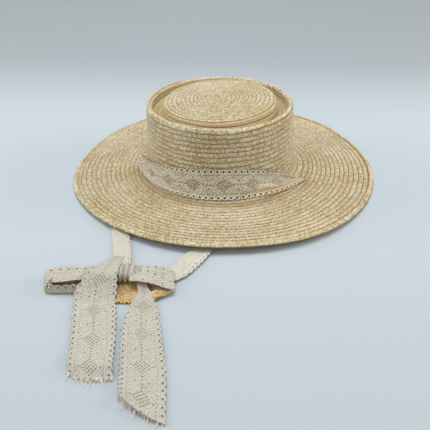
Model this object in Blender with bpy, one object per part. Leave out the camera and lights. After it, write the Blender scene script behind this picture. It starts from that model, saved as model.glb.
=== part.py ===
"""Boater of sewn straw braid, with a lace ribbon round its front that is tied in a bow.

The hat stands on its brim as it would on a table. The lace goes down through two
slots beside the crown, out under the front of the brim and along the table to the bow.
Lengths are in metres and +Z is up. The front of the hat faces -Y.
"""
import math

import bmesh
import bpy
from mathutils import Matrix, Vector

# Crown
CROWN_BASE_HALF_WIDTH = 0.0876
CROWN_RIM_HALF_WIDTH = 0.0832
CROWN_RIM_HEIGHT = 0.0845
CROWN_OVAL = 1.09
CROWN_LEAN = (-0.0054, -0.0015)
CROWN_WALL = 0.0018
CROWN_ROW_PITCH = 0.0062
RIM_ROLL_HALF_WIDTH = 0.0024
MOAT_DEPTH = 0.0114
MOAT_WIDTH = 0.0120
TIP_HALF_WIDTH = 0.0625
TIP_RISE = 0.0020
TIP_DOME = 0.0030
TIP_ROW_PITCH = 0.0047
TIP_TILT_DEG = 2.5
TIP_TILT_TOWARDS_DEG = 215.0

# Brim
BRIM_HALF_WIDTH = 0.1772
BRIM_OVAL = 1.068
BRIM_THICKNESS = 0.0020
BRIM_ROW_PITCH = 0.0054
BRIM_RISE = 0.0035
BRIM_FILLET = 0.0100
BRIM_FRONT_LIFT = 0.0066
BRAID_RELIEF = 0.0005

# Lace
LACE_WIDTH = 0.037
LACE_THICKNESS = 0.0010
FOLDED_THICKNESS = 0.0020
SLOT_ANGLE_DEG = 11.25
SLOT_RADIUS = 0.1010
SLOT_LACE_WIDTH = 0.0090

# Bow, which lies on the table at an angle to the hat
LAY_TURN_DEG = 15.0
BOW_SIDE = 0.0875
BOW_REACH = 0.0632
KNOT_LENGTH = 0.0220
KNOT_DEPTH = 0.0200
KNOT_HEIGHT = 0.0120
LOOP_LEFT_LENGTH = 0.0600
LOOP_RIGHT_LENGTH = 0.0335
LOOP_HEIGHT = 0.0095
TAIL_LEFT_REACH = 0.1340
TAIL_RIGHT_REACH = 0.1375

CLEARANCE = 0.0003
SEGMENTS = 40
SMOOTH_STEPS = 3
SHARP_ANGLE_DEG = 40.0

STRAW = ("straw", (0.80, 0.66, 0.40, 1.0), 0.55)
LACE = ("cotton_lace", (0.86, 0.82, 0.72, 1.0), 0.85)

# How the edge of the brim wanders off its oval.
# Columns: direction in degrees, share of the half width by which the edge lies further out.
BRIM_EDGE_SWELL = (
    (15.0, 0.001),
    (45.0, 0.003),
    (60.0, 0.024),
    (95.0, 0.012),
    (155.0, 0.010),
    (180.0, -0.004),
    (208.0, 0.007),
    (232.0, -0.003),
    (265.0, -0.008),
    (290.0, -0.004),
    (312.0, 0.013),
    (332.0, 0.012),
    (350.0, 0.006),
)

# The lace band from the left slot to the right one.
# Columns: share of the way, lower edge and upper edge as shares of the lace width,
# measured up the surface from the foot of the fillet, and depth of the folds.
BAND_SECTIONS = (
    (0.00, -0.13, 0.12, 0.03),
    (0.04, -0.13, 0.40, 0.12),
    (0.12, -0.08, 0.57, 0.08),
    (0.21, -0.01, 0.73, 0.04),
    (0.31, 0.07, 0.89, 0.01),
    (0.41, 0.11, 1.01, 0.00),
    (0.50, 0.12, 1.07, 0.00),
    (0.60, 0.13, 1.10, 0.00),
    (0.69, 0.13, 1.08, 0.00),
    (0.78, 0.10, 0.96, 0.02),
    (0.86, 0.02, 0.79, 0.06),
    (0.93, -0.06, 0.56, 0.10),
    (0.97, -0.10, 0.34, 0.09),
    (1.00, -0.13, 0.12, 0.03),
)
# Fold across the band from its lower to its upper edge, as shares of the fold depth.
BAND_FOLD = (0.0, 0.55, 1.0, 0.40, 0.05, 0.40, 0.65)

# Ties from slot to knot.
# Columns: share of the way, share of the lace width to the left, height as a share
# of the drop from the slot's mouth to the table, width as a share of the full tie.
TIE_LEFT_SECTIONS = (
    (0.000, 0.000, 1.00, 0.50),
    (0.002, 0.000, 0.24, 0.50),
    (0.022, 0.000, 0.03, 0.56),
    (0.060, -0.010, 0.00, 0.72),
    (0.130, -0.030, 0.00, 0.90),
    (0.300, -0.090, 0.00, 1.00),
    (0.500, -0.160, 0.00, 1.00),
    (0.700, -0.208, 0.00, 0.97),
    (0.780, -0.135, 0.00, 0.97),
    (0.880, -0.040, 0.00, 0.97),
    (0.945, 0.000, 0.08, 0.95),
    (1.000, 0.000, 0.33, 0.88),
)
TIE_RIGHT_SECTIONS = (
    (0.000, 0.000, 1.00, 0.50),
    (0.002, 0.000, 0.24, 0.50),
    (0.022, 0.005, 0.03, 0.56),
    (0.060, 0.030, 0.00, 0.72),
    (0.130, 0.090, 0.00, 0.90),
    (0.300, 0.220, 0.00, 0.95),
    (0.500, 0.320, 0.00, 0.92),
    (0.680, 0.386, 0.00, 0.92),
    (0.805, 0.517, 0.00, 1.26),
    (0.885, 0.640, 0.00, 1.18),
    (0.932, 0.660, 0.00, 1.00),
    (0.966, 0.460, 0.00, 0.66),
    (1.000, 0.000, 0.00, 0.50),
)
TIE_WIDTH = 0.0180
# The lace stands along the slot up to this share of the tie.
SLOT_SHARE = 0.006

# Loops, seen from the table with the knot behind.
# Columns: share of the loop's length from the knot, share of the lace width towards
# the wearer's side, share of the loop's height, width as a share of the lace width.
LOOP_LEFT_SECTIONS = (
    (0.00, 0.11, 1.00, 0.46),
    (0.20, 0.13, 1.04, 0.50),
    (0.47, 0.17, 1.00, 0.50),
    (0.75, 0.27, 0.93, 0.50),
    (0.92, 0.34, 0.82, 0.49),
    (1.00, 0.39, 0.43, 0.48),
    (0.93, 0.41, 0.05, 0.50),
    (0.75, 0.41, 0.00, 0.56),
    (0.47, 0.39, 0.00, 0.66),
    (0.15, 0.41, 0.00, 0.84),
    (0.00, 0.45, 0.00, 0.91),
)
LOOP_RIGHT_SECTIONS = (
    (0.00, 0.19, 1.06, 0.42),
    (0.30, 0.25, 1.16, 0.42),
    (0.60, 0.34, 1.02, 0.36),
    (0.85, 0.42, 0.80, 0.28),
    (1.00, 0.46, 0.45, 0.22),
    (0.88, 0.51, 0.06, 0.30),
    (0.62, 0.53, 0.00, 0.58),
    (0.30, 0.50, 0.00, 0.82),
    (0.00, 0.47, 0.00, 0.91),
)
LOOP_UNDER_KNOT = 0.5

# Tails from the knot to the cut ends.
# Columns: share of the reach, share of the lace width to the right of the start,
# height as a share of the start's height, width as a share of the lace width.
TAIL_LEFT_SECTIONS = (
    (0.000, 0.00, 1.00, 0.28),
    (0.052, -0.12, 1.00, 0.42),
    (0.127, -0.24, 1.00, 0.61),
    (0.194, -0.31, 0.94, 0.76),
    (0.246, -0.35, 0.65, 0.87),
    (0.291, -0.40, 0.38, 0.98),
    (0.373, -0.395, 0.05, 1.00),
    (0.490, -0.32, 0.00, 1.00),
    (0.700, -0.21, 0.00, 0.99),
    (0.910, -0.11, 0.00, 0.95),
    (1.000, -0.06, 0.08, 0.93),
)
TAIL_RIGHT_SECTIONS = (
    (0.000, 0.00, 1.00, 0.20),
    (0.058, 0.05, 0.70, 0.24),
    (0.109, 0.12, 0.50, 0.30),
    (0.153, 0.12, 0.40, 0.42),
    (0.204, 0.14, 0.28, 0.56),
    (0.255, 0.155, 0.07, 0.69),
    (0.342, 0.155, 0.00, 0.84),
    (0.570, 0.27, 0.00, 0.93),
    (0.770, 0.38, 0.00, 0.98),
    (1.000, 0.47, 0.00, 0.96),
)
TAIL_LEFT_END_SLANT = 0.13
TAIL_RIGHT_END_SLANT = 0.60
TAIL_RIGHT_START_HEIGHT = 0.0065
TAIL_LEFT_START_BACK = 0.70
LOOP_COLUMNS = 3
TAIL_COLUMNS = 4
TIE_COLUMNS = 2


def clear_scene():
    """Remove whatever the scene holds."""
    for item in list(bpy.data.objects):
        bpy.data.objects.remove(item, do_unlink=True)


def make_material(finish):
    """Make a plain material from a name, a colour and a roughness."""
    name, colour, roughness = finish
    material = bpy.data.materials.new(name)
    material.use_nodes = True
    shader = material.node_tree.nodes["Principled BSDF"]
    shader.inputs["Base Color"].default_value = colour
    shader.inputs["Roughness"].default_value = roughness
    shader.inputs["Metallic"].default_value = 0.0
    return material


def add_piece(name, mesh_data, material, parent):
    """Turn a bmesh into a smooth named object under its parent."""
    bmesh.ops.recalc_face_normals(mesh_data, faces=mesh_data.faces)
    mesh = bpy.data.meshes.new(name)
    mesh_data.to_mesh(mesh)
    mesh_data.free()
    mesh.shade_smooth()
    mesh.set_sharp_from_angle(angle=math.radians(SHARP_ANGLE_DEG))
    mesh.materials.append(material)
    piece = bpy.data.objects.new(name, mesh)
    piece.parent = parent
    bpy.context.scene.collection.objects.link(piece)
    return piece


def add_empty(name, parent=None):
    """Add an empty that carries pieces."""
    empty = bpy.data.objects.new(name, None)
    empty.parent = parent
    bpy.context.scene.collection.objects.link(empty)
    return empty


def turned(section, closed):
    """Spin a section in the XZ plane once round the Z axis."""
    data = bmesh.new()
    ring = [data.verts.new((radius, 0.0, height)) for radius, height in section]
    pairs = list(zip(ring, ring[1:]))
    if closed:
        pairs.append((ring[-1], ring[0]))
    edges = [data.edges.new(pair) for pair in pairs]
    bmesh.ops.spin(
        data,
        geom=ring + edges,
        cent=(0.0, 0.0, 0.0),
        axis=(0.0, 0.0, 1.0),
        angle=2.0 * math.pi,
        steps=SEGMENTS,
        use_merge=True,
    )
    bmesh.ops.remove_doubles(data, verts=data.verts, dist=1e-6)
    return data


def stepped_run(start, end, pitch):
    """Rows of braid from start to end, each lapping the next by a shallow step."""
    first, last = Vector(start), Vector(end)
    run = last - first
    rows = max(1, round(run.length / pitch))
    outward = Vector((run.y, -run.x)).normalized() * BRAID_RELIEF
    points = []
    for row in range(rows):
        near = first + run * (row / rows)
        points.append(tuple(near))
        points.append(tuple(first + run * ((row + 0.8) / rows) + outward))
    points.append(tuple(last))
    return points


def arc(centre, radius, start_deg, end_deg, steps):
    """Points along an arc in the section plane."""
    points = []
    for step in range(steps + 1):
        angle = math.radians(start_deg + (end_deg - start_deg) * step / steps)
        points.append((centre[0] + radius * math.cos(angle), centre[1] + radius * math.sin(angle)))
    return points


def fillet_centre():
    """Centre of the fillet that carries the brim up into the crown."""
    foot_height = BRIM_RISE + BRIM_THICKNESS
    return CROWN_BASE_HALF_WIDTH + BRIM_FILLET, foot_height + BRIM_FILLET


def crown_section():
    """Half section of the crown from its outer foot over the tip and back inside."""
    foot = fillet_centre()[1] + CLEARANCE
    roll_centre = (CROWN_RIM_HALF_WIDTH - RIM_ROLL_HALF_WIDTH, CROWN_RIM_HEIGHT - RIM_ROLL_HALF_WIDTH)
    outer = stepped_run((CROWN_BASE_HALF_WIDTH, foot), (CROWN_RIM_HALF_WIDTH, roll_centre[1]), CROWN_ROW_PITCH)
    roll = arc(roll_centre, RIM_ROLL_HALF_WIDTH, 0.0, 180.0, 5)[1:]
    moat_floor = CROWN_RIM_HEIGHT - MOAT_DEPTH
    moat_outer = roll_centre[0] - RIM_ROLL_HALF_WIDTH
    moat_inner = moat_outer - MOAT_WIDTH
    tip_edge = CROWN_RIM_HEIGHT + TIP_RISE
    slope = moat_inner - TIP_HALF_WIDTH
    moat = [
        (moat_outer - 0.10 * MOAT_WIDTH, moat_floor + 0.22 * MOAT_DEPTH),
        (moat_outer - 0.28 * MOAT_WIDTH, moat_floor),
        (moat_inner + 0.35 * MOAT_WIDTH, moat_floor),
        (moat_inner + 0.10 * MOAT_WIDTH, moat_floor + 0.30 * MOAT_DEPTH),
        (moat_inner + 0.05 * MOAT_WIDTH, moat_floor + 0.62 * MOAT_DEPTH),
        (moat_inner - 0.55 * slope, moat_floor + 0.66 * MOAT_DEPTH),
        (moat_inner - 0.62 * slope, moat_floor + 0.96 * MOAT_DEPTH),
        (TIP_HALF_WIDTH, tip_edge - 0.3 * TIP_RISE),
    ]
    tip = []
    rows = round(TIP_HALF_WIDTH / TIP_ROW_PITCH)
    for row in range(rows):
        for share, lift in ((0.15, BRAID_RELIEF), (0.95, 0.0)):
            radius = TIP_HALF_WIDTH * (1.0 - (row + share) / rows)
            dome = TIP_DOME * (1.0 - (radius / TIP_HALF_WIDTH) ** 2)
            if radius > 0.3 * TIP_HALF_WIDTH or lift == 0.0 and row % 2:
                tip.append((radius, tip_edge + dome + lift))
    tip.append((0.0, tip_edge + TIP_DOME + BRAID_RELIEF))
    wall = CROWN_WALL
    inner = [
        (0.0, tip_edge + TIP_DOME - wall),
        (0.55 * TIP_HALF_WIDTH, tip_edge + 0.7 * TIP_DOME - wall),
        (TIP_HALF_WIDTH - wall, tip_edge - 0.3 * TIP_RISE - wall),
        (moat_inner - 0.62 * slope - wall, moat_floor + 0.60 * MOAT_DEPTH - wall),
        (moat_inner + 0.05 * MOAT_WIDTH - wall, moat_floor + 0.30 * MOAT_DEPTH - wall),
        (moat_inner + 0.35 * MOAT_WIDTH - 0.5 * wall, moat_floor - wall),
        (moat_outer - 0.28 * MOAT_WIDTH + 0.5 * wall, moat_floor - wall),
        (CROWN_RIM_HALF_WIDTH - wall, moat_floor - 0.8 * wall),
        (CROWN_BASE_HALF_WIDTH - wall, foot),
    ]
    return outer + roll + moat + tip + inner


def brim_section():
    """Closed half section of the brim with the fillet that meets the crown."""
    centre = fillet_centre()
    thick = BRIM_THICKNESS
    edge = BRIM_HALF_WIDTH
    flat = edge - BRIM_ROW_PITCH
    fillet = arc(centre, BRIM_FILLET, 180.0, 270.0, 4)
    rows = stepped_run((edge - 0.25 * thick, thick), (centre[0], BRIM_RISE + thick), BRIM_ROW_PITCH)
    under_fillet = arc(centre, BRIM_FILLET + thick, 270.0, 180.0, 4)
    under = [(flat, 0.0), (edge - 0.25 * thick, 0.0), (edge, 0.5 * thick)]
    return fillet + rows[::-1][1:] + under[::-1] + under_fillet


def oval_crown(data):
    """Stretch the turned crown to its oval, lean it and tilt its tip."""
    tilt = math.tan(math.radians(TIP_TILT_DEG))
    towards = math.radians(TIP_TILT_TOWARDS_DEG)
    moat_floor = CROWN_RIM_HEIGHT - MOAT_DEPTH
    base = fillet_centre()[1]
    for vert in data.verts:
        x, y, z = vert.co
        radius = math.hypot(x, y)
        rise = max(0.0, (z - base) / (CROWN_RIM_HEIGHT - base))
        share = min(1.0, max(0.0, (z - moat_floor) / MOAT_DEPTH))
        if radius < TIP_HALF_WIDTH + 0.5 * MOAT_WIDTH:
            z -= share * tilt * (x * math.cos(towards) + y * math.sin(towards))
        vert.co = (x + CROWN_LEAN[0] * rise, y * CROWN_OVAL + CROWN_LEAN[1] * rise, z)


def brim_oval(radius):
    """Depth of the brim over its width at a radius."""
    inner = fillet_centre()[0]
    share = min(1.0, max(0.0, (radius - inner) / (BRIM_HALF_WIDTH - inner)))
    return CROWN_OVAL + (BRIM_OVAL - CROWN_OVAL) * share


def brim_lift(x, y):
    """How far the front of the brim stands off the table."""
    radius = math.hypot(x, y)
    inner = fillet_centre()[0]
    share = min(1.0, max(0.0, (radius - inner) / (BRIM_HALF_WIDTH - inner)))
    front = math.radians(270.0 + LAY_TURN_DEG)
    facing = (x * math.cos(front) + y * math.sin(front)) / max(radius, 1e-9)
    return BRIM_FRONT_LIFT * max(0.0, facing) ** 2 * share ** 1.5


def edge_swell(x, y):
    """Share by which the brim's edge lies outside its oval in the direction of a point."""
    degrees = math.degrees(math.atan2(y, x)) % 360.0
    first, last = BRIM_EDGE_SWELL[0], BRIM_EDGE_SWELL[-1]
    ring = ((last[0] - 360.0, last[1]),) + BRIM_EDGE_SWELL + ((first[0] + 360.0, first[1]),)
    for (here, near), (there, far) in zip(ring, ring[1:]):
        if here <= degrees <= there:
            share = 0.5 - 0.5 * math.cos(math.pi * (degrees - here) / (there - here))
            return near + (far - near) * share
    return 0.0


def oval_brim(data):
    """Stretch the turned brim to its oval, let its edge wander and lift its front."""
    inner = fillet_centre()[0]
    for vert in data.verts:
        x, y, z = vert.co
        radius = math.hypot(x, y)
        share = min(1.0, max(0.0, (radius - inner) / (BRIM_HALF_WIDTH - inner)))
        swell = 1.0 + edge_swell(x, y) * share ** 2
        vert.co = (x * swell, y * swell * brim_oval(radius), z + brim_lift(x, y))


def build_hat(parent, material):
    """Build the crown and the brim with its two slots."""
    crown = turned(crown_section(), closed=False)
    bottom = [edge for edge in crown.edges if edge.is_boundary]
    bmesh.ops.bridge_loops(crown, edges=bottom)
    oval_crown(crown)
    add_piece("crown", crown, material, parent)
    brim = turned(brim_section(), closed=True)
    oval_brim(brim)
    brim_piece = add_piece("brim", brim, material, parent)
    for side in (-1.0, 1.0):
        cutter = slot_cutter(side, parent)
        cut = brim_piece.modifiers.new("slot", "BOOLEAN")
        cut.operation = "DIFFERENCE"
        cut.solver = "EXACT"
        cut.object = cutter


def slot_place(side):
    """Middle of a slot, on the crown's long side, left for -1 and right for 1."""
    angle = math.radians(-SLOT_ANGLE_DEG)
    return Vector((side * SLOT_RADIUS * math.cos(angle), SLOT_RADIUS * brim_oval(SLOT_RADIUS) * math.sin(angle), 0.0))


def slot_mouth():
    """Height of the brim's upper side at the slots."""
    inner = fillet_centre()[0]
    flat = BRIM_HALF_WIDTH - BRIM_ROW_PITCH
    return BRIM_THICKNESS + BRIM_RISE * (flat - SLOT_RADIUS) / (flat - inner)


def slot_cutter(side, parent):
    """Box that cuts one slot through the brim."""
    place = slot_place(side)
    data = bmesh.new()
    bmesh.ops.create_cube(data, size=1.0)
    size = (SLOT_LACE_WIDTH + 6.0 * CLEARANCE, FOLDED_THICKNESS + 6.0 * CLEARANCE, 6.0 * BRIM_THICKNESS)
    turn = Matrix.Rotation(math.atan2(place.y, place.x), 4, "Z")
    place.z = slot_mouth()
    bmesh.ops.transform(data, matrix=Matrix.Translation(place) @ turn @ Matrix.Diagonal((*size, 1.0)), verts=data.verts)
    mesh = bpy.data.meshes.new("slot_cutter")
    data.to_mesh(mesh)
    data.free()
    cutter = bpy.data.objects.new("slot_cutter_left" if side < 0 else "slot_cutter_right", mesh)
    cutter.parent = parent
    cutter.hide_render = True
    cutter.display_type = "WIRE"
    bpy.context.scene.collection.objects.link(cutter)
    return cutter


def smooth_rows(table, steps=SMOOTH_STEPS):
    """Read a table along a smooth curve through its rows."""
    rows = [tuple(row) for row in table]
    padded = [rows[0]] + rows + [rows[-1]]
    result = []
    for index in range(len(rows) - 1):
        before, here, there, after = padded[index:index + 4]
        for step in range(steps):
            t = step / steps
            result.append(tuple(
                0.5 * (2.0 * b + (c - a) * t + (2.0 * a - 5.0 * b + 4.0 * c - d) * t ** 2
                       + (3.0 * b - a - 3.0 * c + d) * t ** 3)
                for a, b, c, d in zip(before, here, there, after)
            ))
    result.append(rows[-1])
    return result


def sheet_solid(grid, thickness):
    """Give a grid of points, one row for each station, a wall on both of its sides."""
    rows, columns = len(grid), len(grid[0])
    normals = []
    for i in range(rows):
        line = []
        for j in range(columns):
            along = grid[min(i + 1, rows - 1)][j] - grid[max(i - 1, 0)][j]
            across = grid[i][min(j + 1, columns - 1)] - grid[i][max(j - 1, 0)]
            line.append(along.cross(across).normalized())
        normals.append(line)
    data = bmesh.new()
    sides = []
    for sign in (0.5, -0.5):
        sides.append([
            [data.verts.new(grid[i][j] + normals[i][j] * thickness * sign) for j in range(columns)]
            for i in range(rows)
        ])
    for i in range(rows - 1):
        for j in range(columns - 1):
            for side in sides:
                data.faces.new((side[i][j], side[i][j + 1], side[i + 1][j + 1], side[i + 1][j]))
    rim = [(i, 0) for i in range(rows)] + [(rows - 1, j) for j in range(1, columns)]
    rim += [(i, columns - 1) for i in range(rows - 2, -1, -1)] + [(0, j) for j in range(columns - 2, 0, -1)]
    for (i, j), (m, n) in zip(rim, rim[1:] + rim[:1]):
        data.faces.new((sides[0][i][j], sides[0][m][n], sides[1][m][n], sides[1][i][j]))
    return data


def band_surface(climb, angle):
    """Point just off the straw at a climb up the surface from the foot of the fillet."""
    stand = BRAID_RELIEF + CLEARANCE + 0.5 * LACE_THICKNESS
    centre = fillet_centre()
    bend = BRIM_FILLET - stand
    length = 0.5 * math.pi * bend
    lean = (CROWN_BASE_HALF_WIDTH - CROWN_RIM_HALF_WIDTH) / (CROWN_RIM_HEIGHT - centre[1])
    if climb < 0.0:
        radius, height = centre[0] - climb, centre[1] - bend
        height -= BRIM_RISE * (-climb) / (BRIM_HALF_WIDTH - centre[0])
        normal = (0.0, 1.0)
    elif climb < length:
        turn = climb / bend
        radius, height = centre[0] - bend * math.sin(turn), centre[1] - bend * math.cos(turn)
        normal = (math.sin(turn), math.cos(turn))
    else:
        radius, height = centre[0] - bend - lean * (climb - length), centre[1] + climb - length
        normal = (1.0, 0.0)
    rise = max(0.0, (height - centre[1]) / (CROWN_RIM_HEIGHT - centre[1]))
    point = Vector((radius * math.cos(angle), radius * CROWN_OVAL * math.sin(angle), height))
    point += Vector((CROWN_LEAN[0] * rise, CROWN_LEAN[1] * rise, 0.0))
    outward = Vector((math.cos(angle), math.sin(angle) / CROWN_OVAL, 0.0)).normalized() * normal[0]
    outward.z = normal[1]
    return point, outward


def build_band(parent, material):
    """Build the lace that crosses the front of the crown."""
    shy = (0.5 * FOLDED_THICKNESS + CLEARANCE) / SLOT_RADIUS
    place = slot_place(1.0)
    right = math.atan2(place.y / CROWN_OVAL, place.x) - shy
    left = -math.pi - math.atan2(place.y / CROWN_OVAL, place.x) + shy
    grid = []
    for share, low, high, fold in smooth_rows(BAND_SECTIONS):
        angle = left + (right - left) * share
        line = []
        for j, bulge in enumerate(BAND_FOLD):
            climb = LACE_WIDTH * (low + (high - low) * j / (len(BAND_FOLD) - 1))
            point, outward = band_surface(climb, angle)
            line.append(point + outward * LACE_WIDTH * max(0.0, fold) * bulge)
        grid.append(line)
    add_piece("lace_band", sheet_solid(grid, LACE_THICKNESS), material, parent)


def knot_place():
    """Middle of the knot on the table."""
    share = BOW_SIDE / BRIM_HALF_WIDTH
    edge = BRIM_HALF_WIDTH * BRIM_OVAL * math.sqrt(1.0 - share ** 2)
    return Vector((-BOW_SIDE, -edge - BOW_REACH, 0.0))


def knot_floor():
    """Height of the knot's underside, which sits on the loops' lower layer."""
    return LACE_THICKNESS + CLEARANCE


def build_tie(name, sections, start, end, parent, material):
    """Build one tie from its slot to the knot."""
    way = end - start
    way.z = 0.0
    heading = way.normalized()
    left = Vector((-heading.y, heading.x, 0.0))
    mouth = slot_mouth() + BRAID_RELIEF + LACE_THICKNESS
    floor = 0.5 * FOLDED_THICKNESS
    rows = smooth_rows(sections)
    line = []
    for share, aside, height, width in rows:
        point = start + way * share + left * LACE_WIDTH * aside
        point.z = floor + (mouth - floor) * max(0.0, height)
        line.append((point, width * TIE_WIDTH))
    grid = []
    for index, (point, width) in enumerate(line):
        ahead = line[min(index + 1, len(line) - 1)][0] - line[max(index - 1, 0)][0]
        across = Vector((-ahead.y, ahead.x, 0.0)).normalized()
        if rows[index][0] < SLOT_SHARE:
            across = Vector((start.x, start.y, 0.0)).normalized()
            across *= math.copysign(1.0, across.dot(left))
        grid.append([point + across * width * (j / TIE_COLUMNS - 0.5) for j in range(TIE_COLUMNS + 1)])
    add_piece(name, sheet_solid(grid, FOLDED_THICKNESS), material, parent)


def build_loop(name, sections, side, length, parent, material):
    """Build one loop of the bow, out from the knot, round its end and back under it."""
    knot = knot_place()
    start = knot.x + side * (0.5 * KNOT_LENGTH + CLEARANCE)
    table = 0.5 * LACE_THICKNESS
    rows = list(sections)
    rows.append((-(LOOP_UNDER_KNOT * KNOT_LENGTH) / length, rows[-1][1], rows[-1][2], rows[-1][3]))
    grid = []
    for share, aside, height, width in smooth_rows(rows):
        level = table + (LOOP_HEIGHT - table) * max(0.0, height)
        middle = Vector((start + side * share * length, knot.y - aside * LACE_WIDTH, level))
        across = Vector((0.0, 1.0, 0.0)) * width * LACE_WIDTH
        grid.append([middle + across * (j / LOOP_COLUMNS - 0.5) for j in range(LOOP_COLUMNS + 1)])
    add_piece(name, sheet_solid(grid, LACE_THICKNESS), material, parent)


def build_tail(name, sections, start, reach, slant, parent, material):
    """Build one tail from the knot over the table to its cut end."""
    table = 0.5 * LACE_THICKNESS
    grid = []
    for share, aside, height, width in smooth_rows(sections):
        level = table + (start.z - table) * max(0.0, height)
        middle = Vector((start.x + aside * LACE_WIDTH, start.y - share * reach, level))
        line = []
        for j in range(TAIL_COLUMNS + 1):
            place = j / TAIL_COLUMNS - 0.5
            cut = slant * place * share ** 4 * LACE_WIDTH
            line.append(middle + Vector((place * width * LACE_WIDTH, -cut, 0.0)))
        grid.append(line)
    add_piece(name, sheet_solid(grid, LACE_THICKNESS), material, parent)


def build_knot(parent, material):
    """Build the knot as one soft rounded block."""
    place = knot_place()
    data = bmesh.new()
    bmesh.ops.create_cube(data, size=1.0)
    size = (KNOT_LENGTH, KNOT_DEPTH, KNOT_HEIGHT)
    place.z = knot_floor() + 0.5 * KNOT_HEIGHT
    bmesh.ops.transform(data, matrix=Matrix.Translation(place) @ Matrix.Diagonal((*size, 1.0)), verts=data.verts)
    bmesh.ops.bevel(
        data,
        geom=list(data.edges),
        offset=0.28 * KNOT_HEIGHT,
        offset_type="OFFSET",
        segments=3,
        profile=0.5,
        affect="EDGES",
    )
    add_piece("bow_knot", data, material, parent)


def build_bow(parent, material):
    """Build the ties, the knot, the loops and the tails in the bow's own frame."""
    lay = Matrix.Rotation(-math.radians(LAY_TURN_DEG), 4, "Z")
    knot = knot_place()
    left_slot, right_slot = lay @ slot_place(-1.0), lay @ slot_place(1.0)
    back = Vector((knot.x - 0.27 * KNOT_LENGTH, knot.y + 0.5 * KNOT_DEPTH + CLEARANCE, 0.0))
    right = Vector((knot.x + 0.5 * KNOT_LENGTH + CLEARANCE, knot.y + 0.36 * KNOT_DEPTH, 0.0))
    build_tie("tie_left", TIE_LEFT_SECTIONS, left_slot, back, parent, material)
    build_tie("tie_right", TIE_RIGHT_SECTIONS, right_slot, right, parent, material)
    build_knot(parent, material)
    build_loop("bow_loop_left", LOOP_LEFT_SECTIONS, -1.0, LOOP_LEFT_LENGTH, parent, material)
    build_loop("bow_loop_right", LOOP_RIGHT_SECTIONS, 1.0, LOOP_RIGHT_LENGTH, parent, material)
    over = knot_floor() + KNOT_HEIGHT + CLEARANCE + 0.5 * LACE_THICKNESS
    left_start = Vector((knot.x - 0.30 * KNOT_LENGTH, knot.y + TAIL_LEFT_START_BACK * KNOT_DEPTH, over))
    build_tail("bow_tail_left", TAIL_LEFT_SECTIONS, left_start, TAIL_LEFT_REACH, TAIL_LEFT_END_SLANT, parent, material)
    tail_half = 0.5 * TAIL_RIGHT_SECTIONS[0][3] * LACE_WIDTH
    right_start = Vector((
        knot.x + 0.5 * KNOT_LENGTH + 2.0 * CLEARANCE + tail_half,
        knot.y - 0.40 * KNOT_DEPTH,
        TAIL_RIGHT_START_HEIGHT,
    ))
    build_tail("bow_tail_right", TAIL_RIGHT_SECTIONS, right_start, TAIL_RIGHT_REACH, TAIL_RIGHT_END_SLANT,
               parent, material)


def centre_on_box(carrier):
    """Move the whole so that the origin is under the middle of its box."""
    bpy.context.view_layer.update()
    corners = [
        piece.matrix_world @ vert.co
        for piece in bpy.data.objects
        if piece.type == "MESH" and not piece.hide_render
        for vert in piece.data.vertices
    ]
    for axis in (0, 1):
        low = min(corner[axis] for corner in corners)
        high = max(corner[axis] for corner in corners)
        carrier.location[axis] = -0.5 * (low + high)
    bpy.context.view_layer.update()


def main():
    """Build every piece of the boater."""
    clear_scene()
    straw, lace = make_material(STRAW), make_material(LACE)
    hat_axis = add_empty("hat_axis")
    bow_frame = add_empty("bow_frame", hat_axis)
    bow_frame.rotation_euler.z = math.radians(LAY_TURN_DEG)
    build_hat(hat_axis, straw)
    build_band(hat_axis, lace)
    build_bow(bow_frame, lace)
    centre_on_box(hat_axis)


main()
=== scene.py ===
"""Looks of the straw boater and its lace ribbon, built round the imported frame.

Lengths are in metres and +Z is up. The hat's own frame stands on the table under the
crown, with the front of the hat towards -Y. The bow's frame is the same one turned about
+Z, because the hat lies askew to the bow and to the camera.
"""
import bisect
import functools
import logging
import math
from dataclasses import dataclass, field
from enum import Enum
from typing import Callable, Sequence

import bpy
from mathutils import Matrix, Vector, noise


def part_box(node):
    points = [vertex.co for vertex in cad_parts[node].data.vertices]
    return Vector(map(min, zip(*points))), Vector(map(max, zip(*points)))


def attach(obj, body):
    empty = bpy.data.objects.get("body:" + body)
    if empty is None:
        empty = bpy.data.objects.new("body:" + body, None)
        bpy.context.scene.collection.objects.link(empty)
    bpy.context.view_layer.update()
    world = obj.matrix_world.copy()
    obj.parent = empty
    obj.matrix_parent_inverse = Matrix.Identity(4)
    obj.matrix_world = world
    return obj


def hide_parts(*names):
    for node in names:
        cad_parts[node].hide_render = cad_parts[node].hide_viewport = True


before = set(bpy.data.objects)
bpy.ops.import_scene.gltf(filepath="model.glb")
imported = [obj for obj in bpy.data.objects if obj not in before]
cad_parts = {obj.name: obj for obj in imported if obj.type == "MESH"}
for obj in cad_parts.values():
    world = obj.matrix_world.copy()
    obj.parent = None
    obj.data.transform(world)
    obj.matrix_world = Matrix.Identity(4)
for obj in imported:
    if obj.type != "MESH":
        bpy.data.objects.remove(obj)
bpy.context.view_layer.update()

BODY = "root"
MILLIMETRE = 0.001
MERGE = 1e-6
LOG = logging.getLogger("boater")

Row = tuple[float, ...]
Table = tuple[Row, ...]
Lay = Callable[[float, float], Vector]


class Slot(Enum):
    """Material slots of the record."""

    STRAW = "straw"
    LACE = "cotton_lace"


class Held(Enum):
    """Ways in which a length of lace is held."""

    GATHERED = "gathered"
    FOLDED = "folded"
    LAID = "laid"


def smooth_share(low: float, high: float, value: float) -> float:
    """Share from 0 at low to 1 at high, with soft ends."""
    share = min(1.0, max(0.0, (value - low) / (high - low)))
    return share * share * (3.0 - 2.0 * share)


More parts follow.
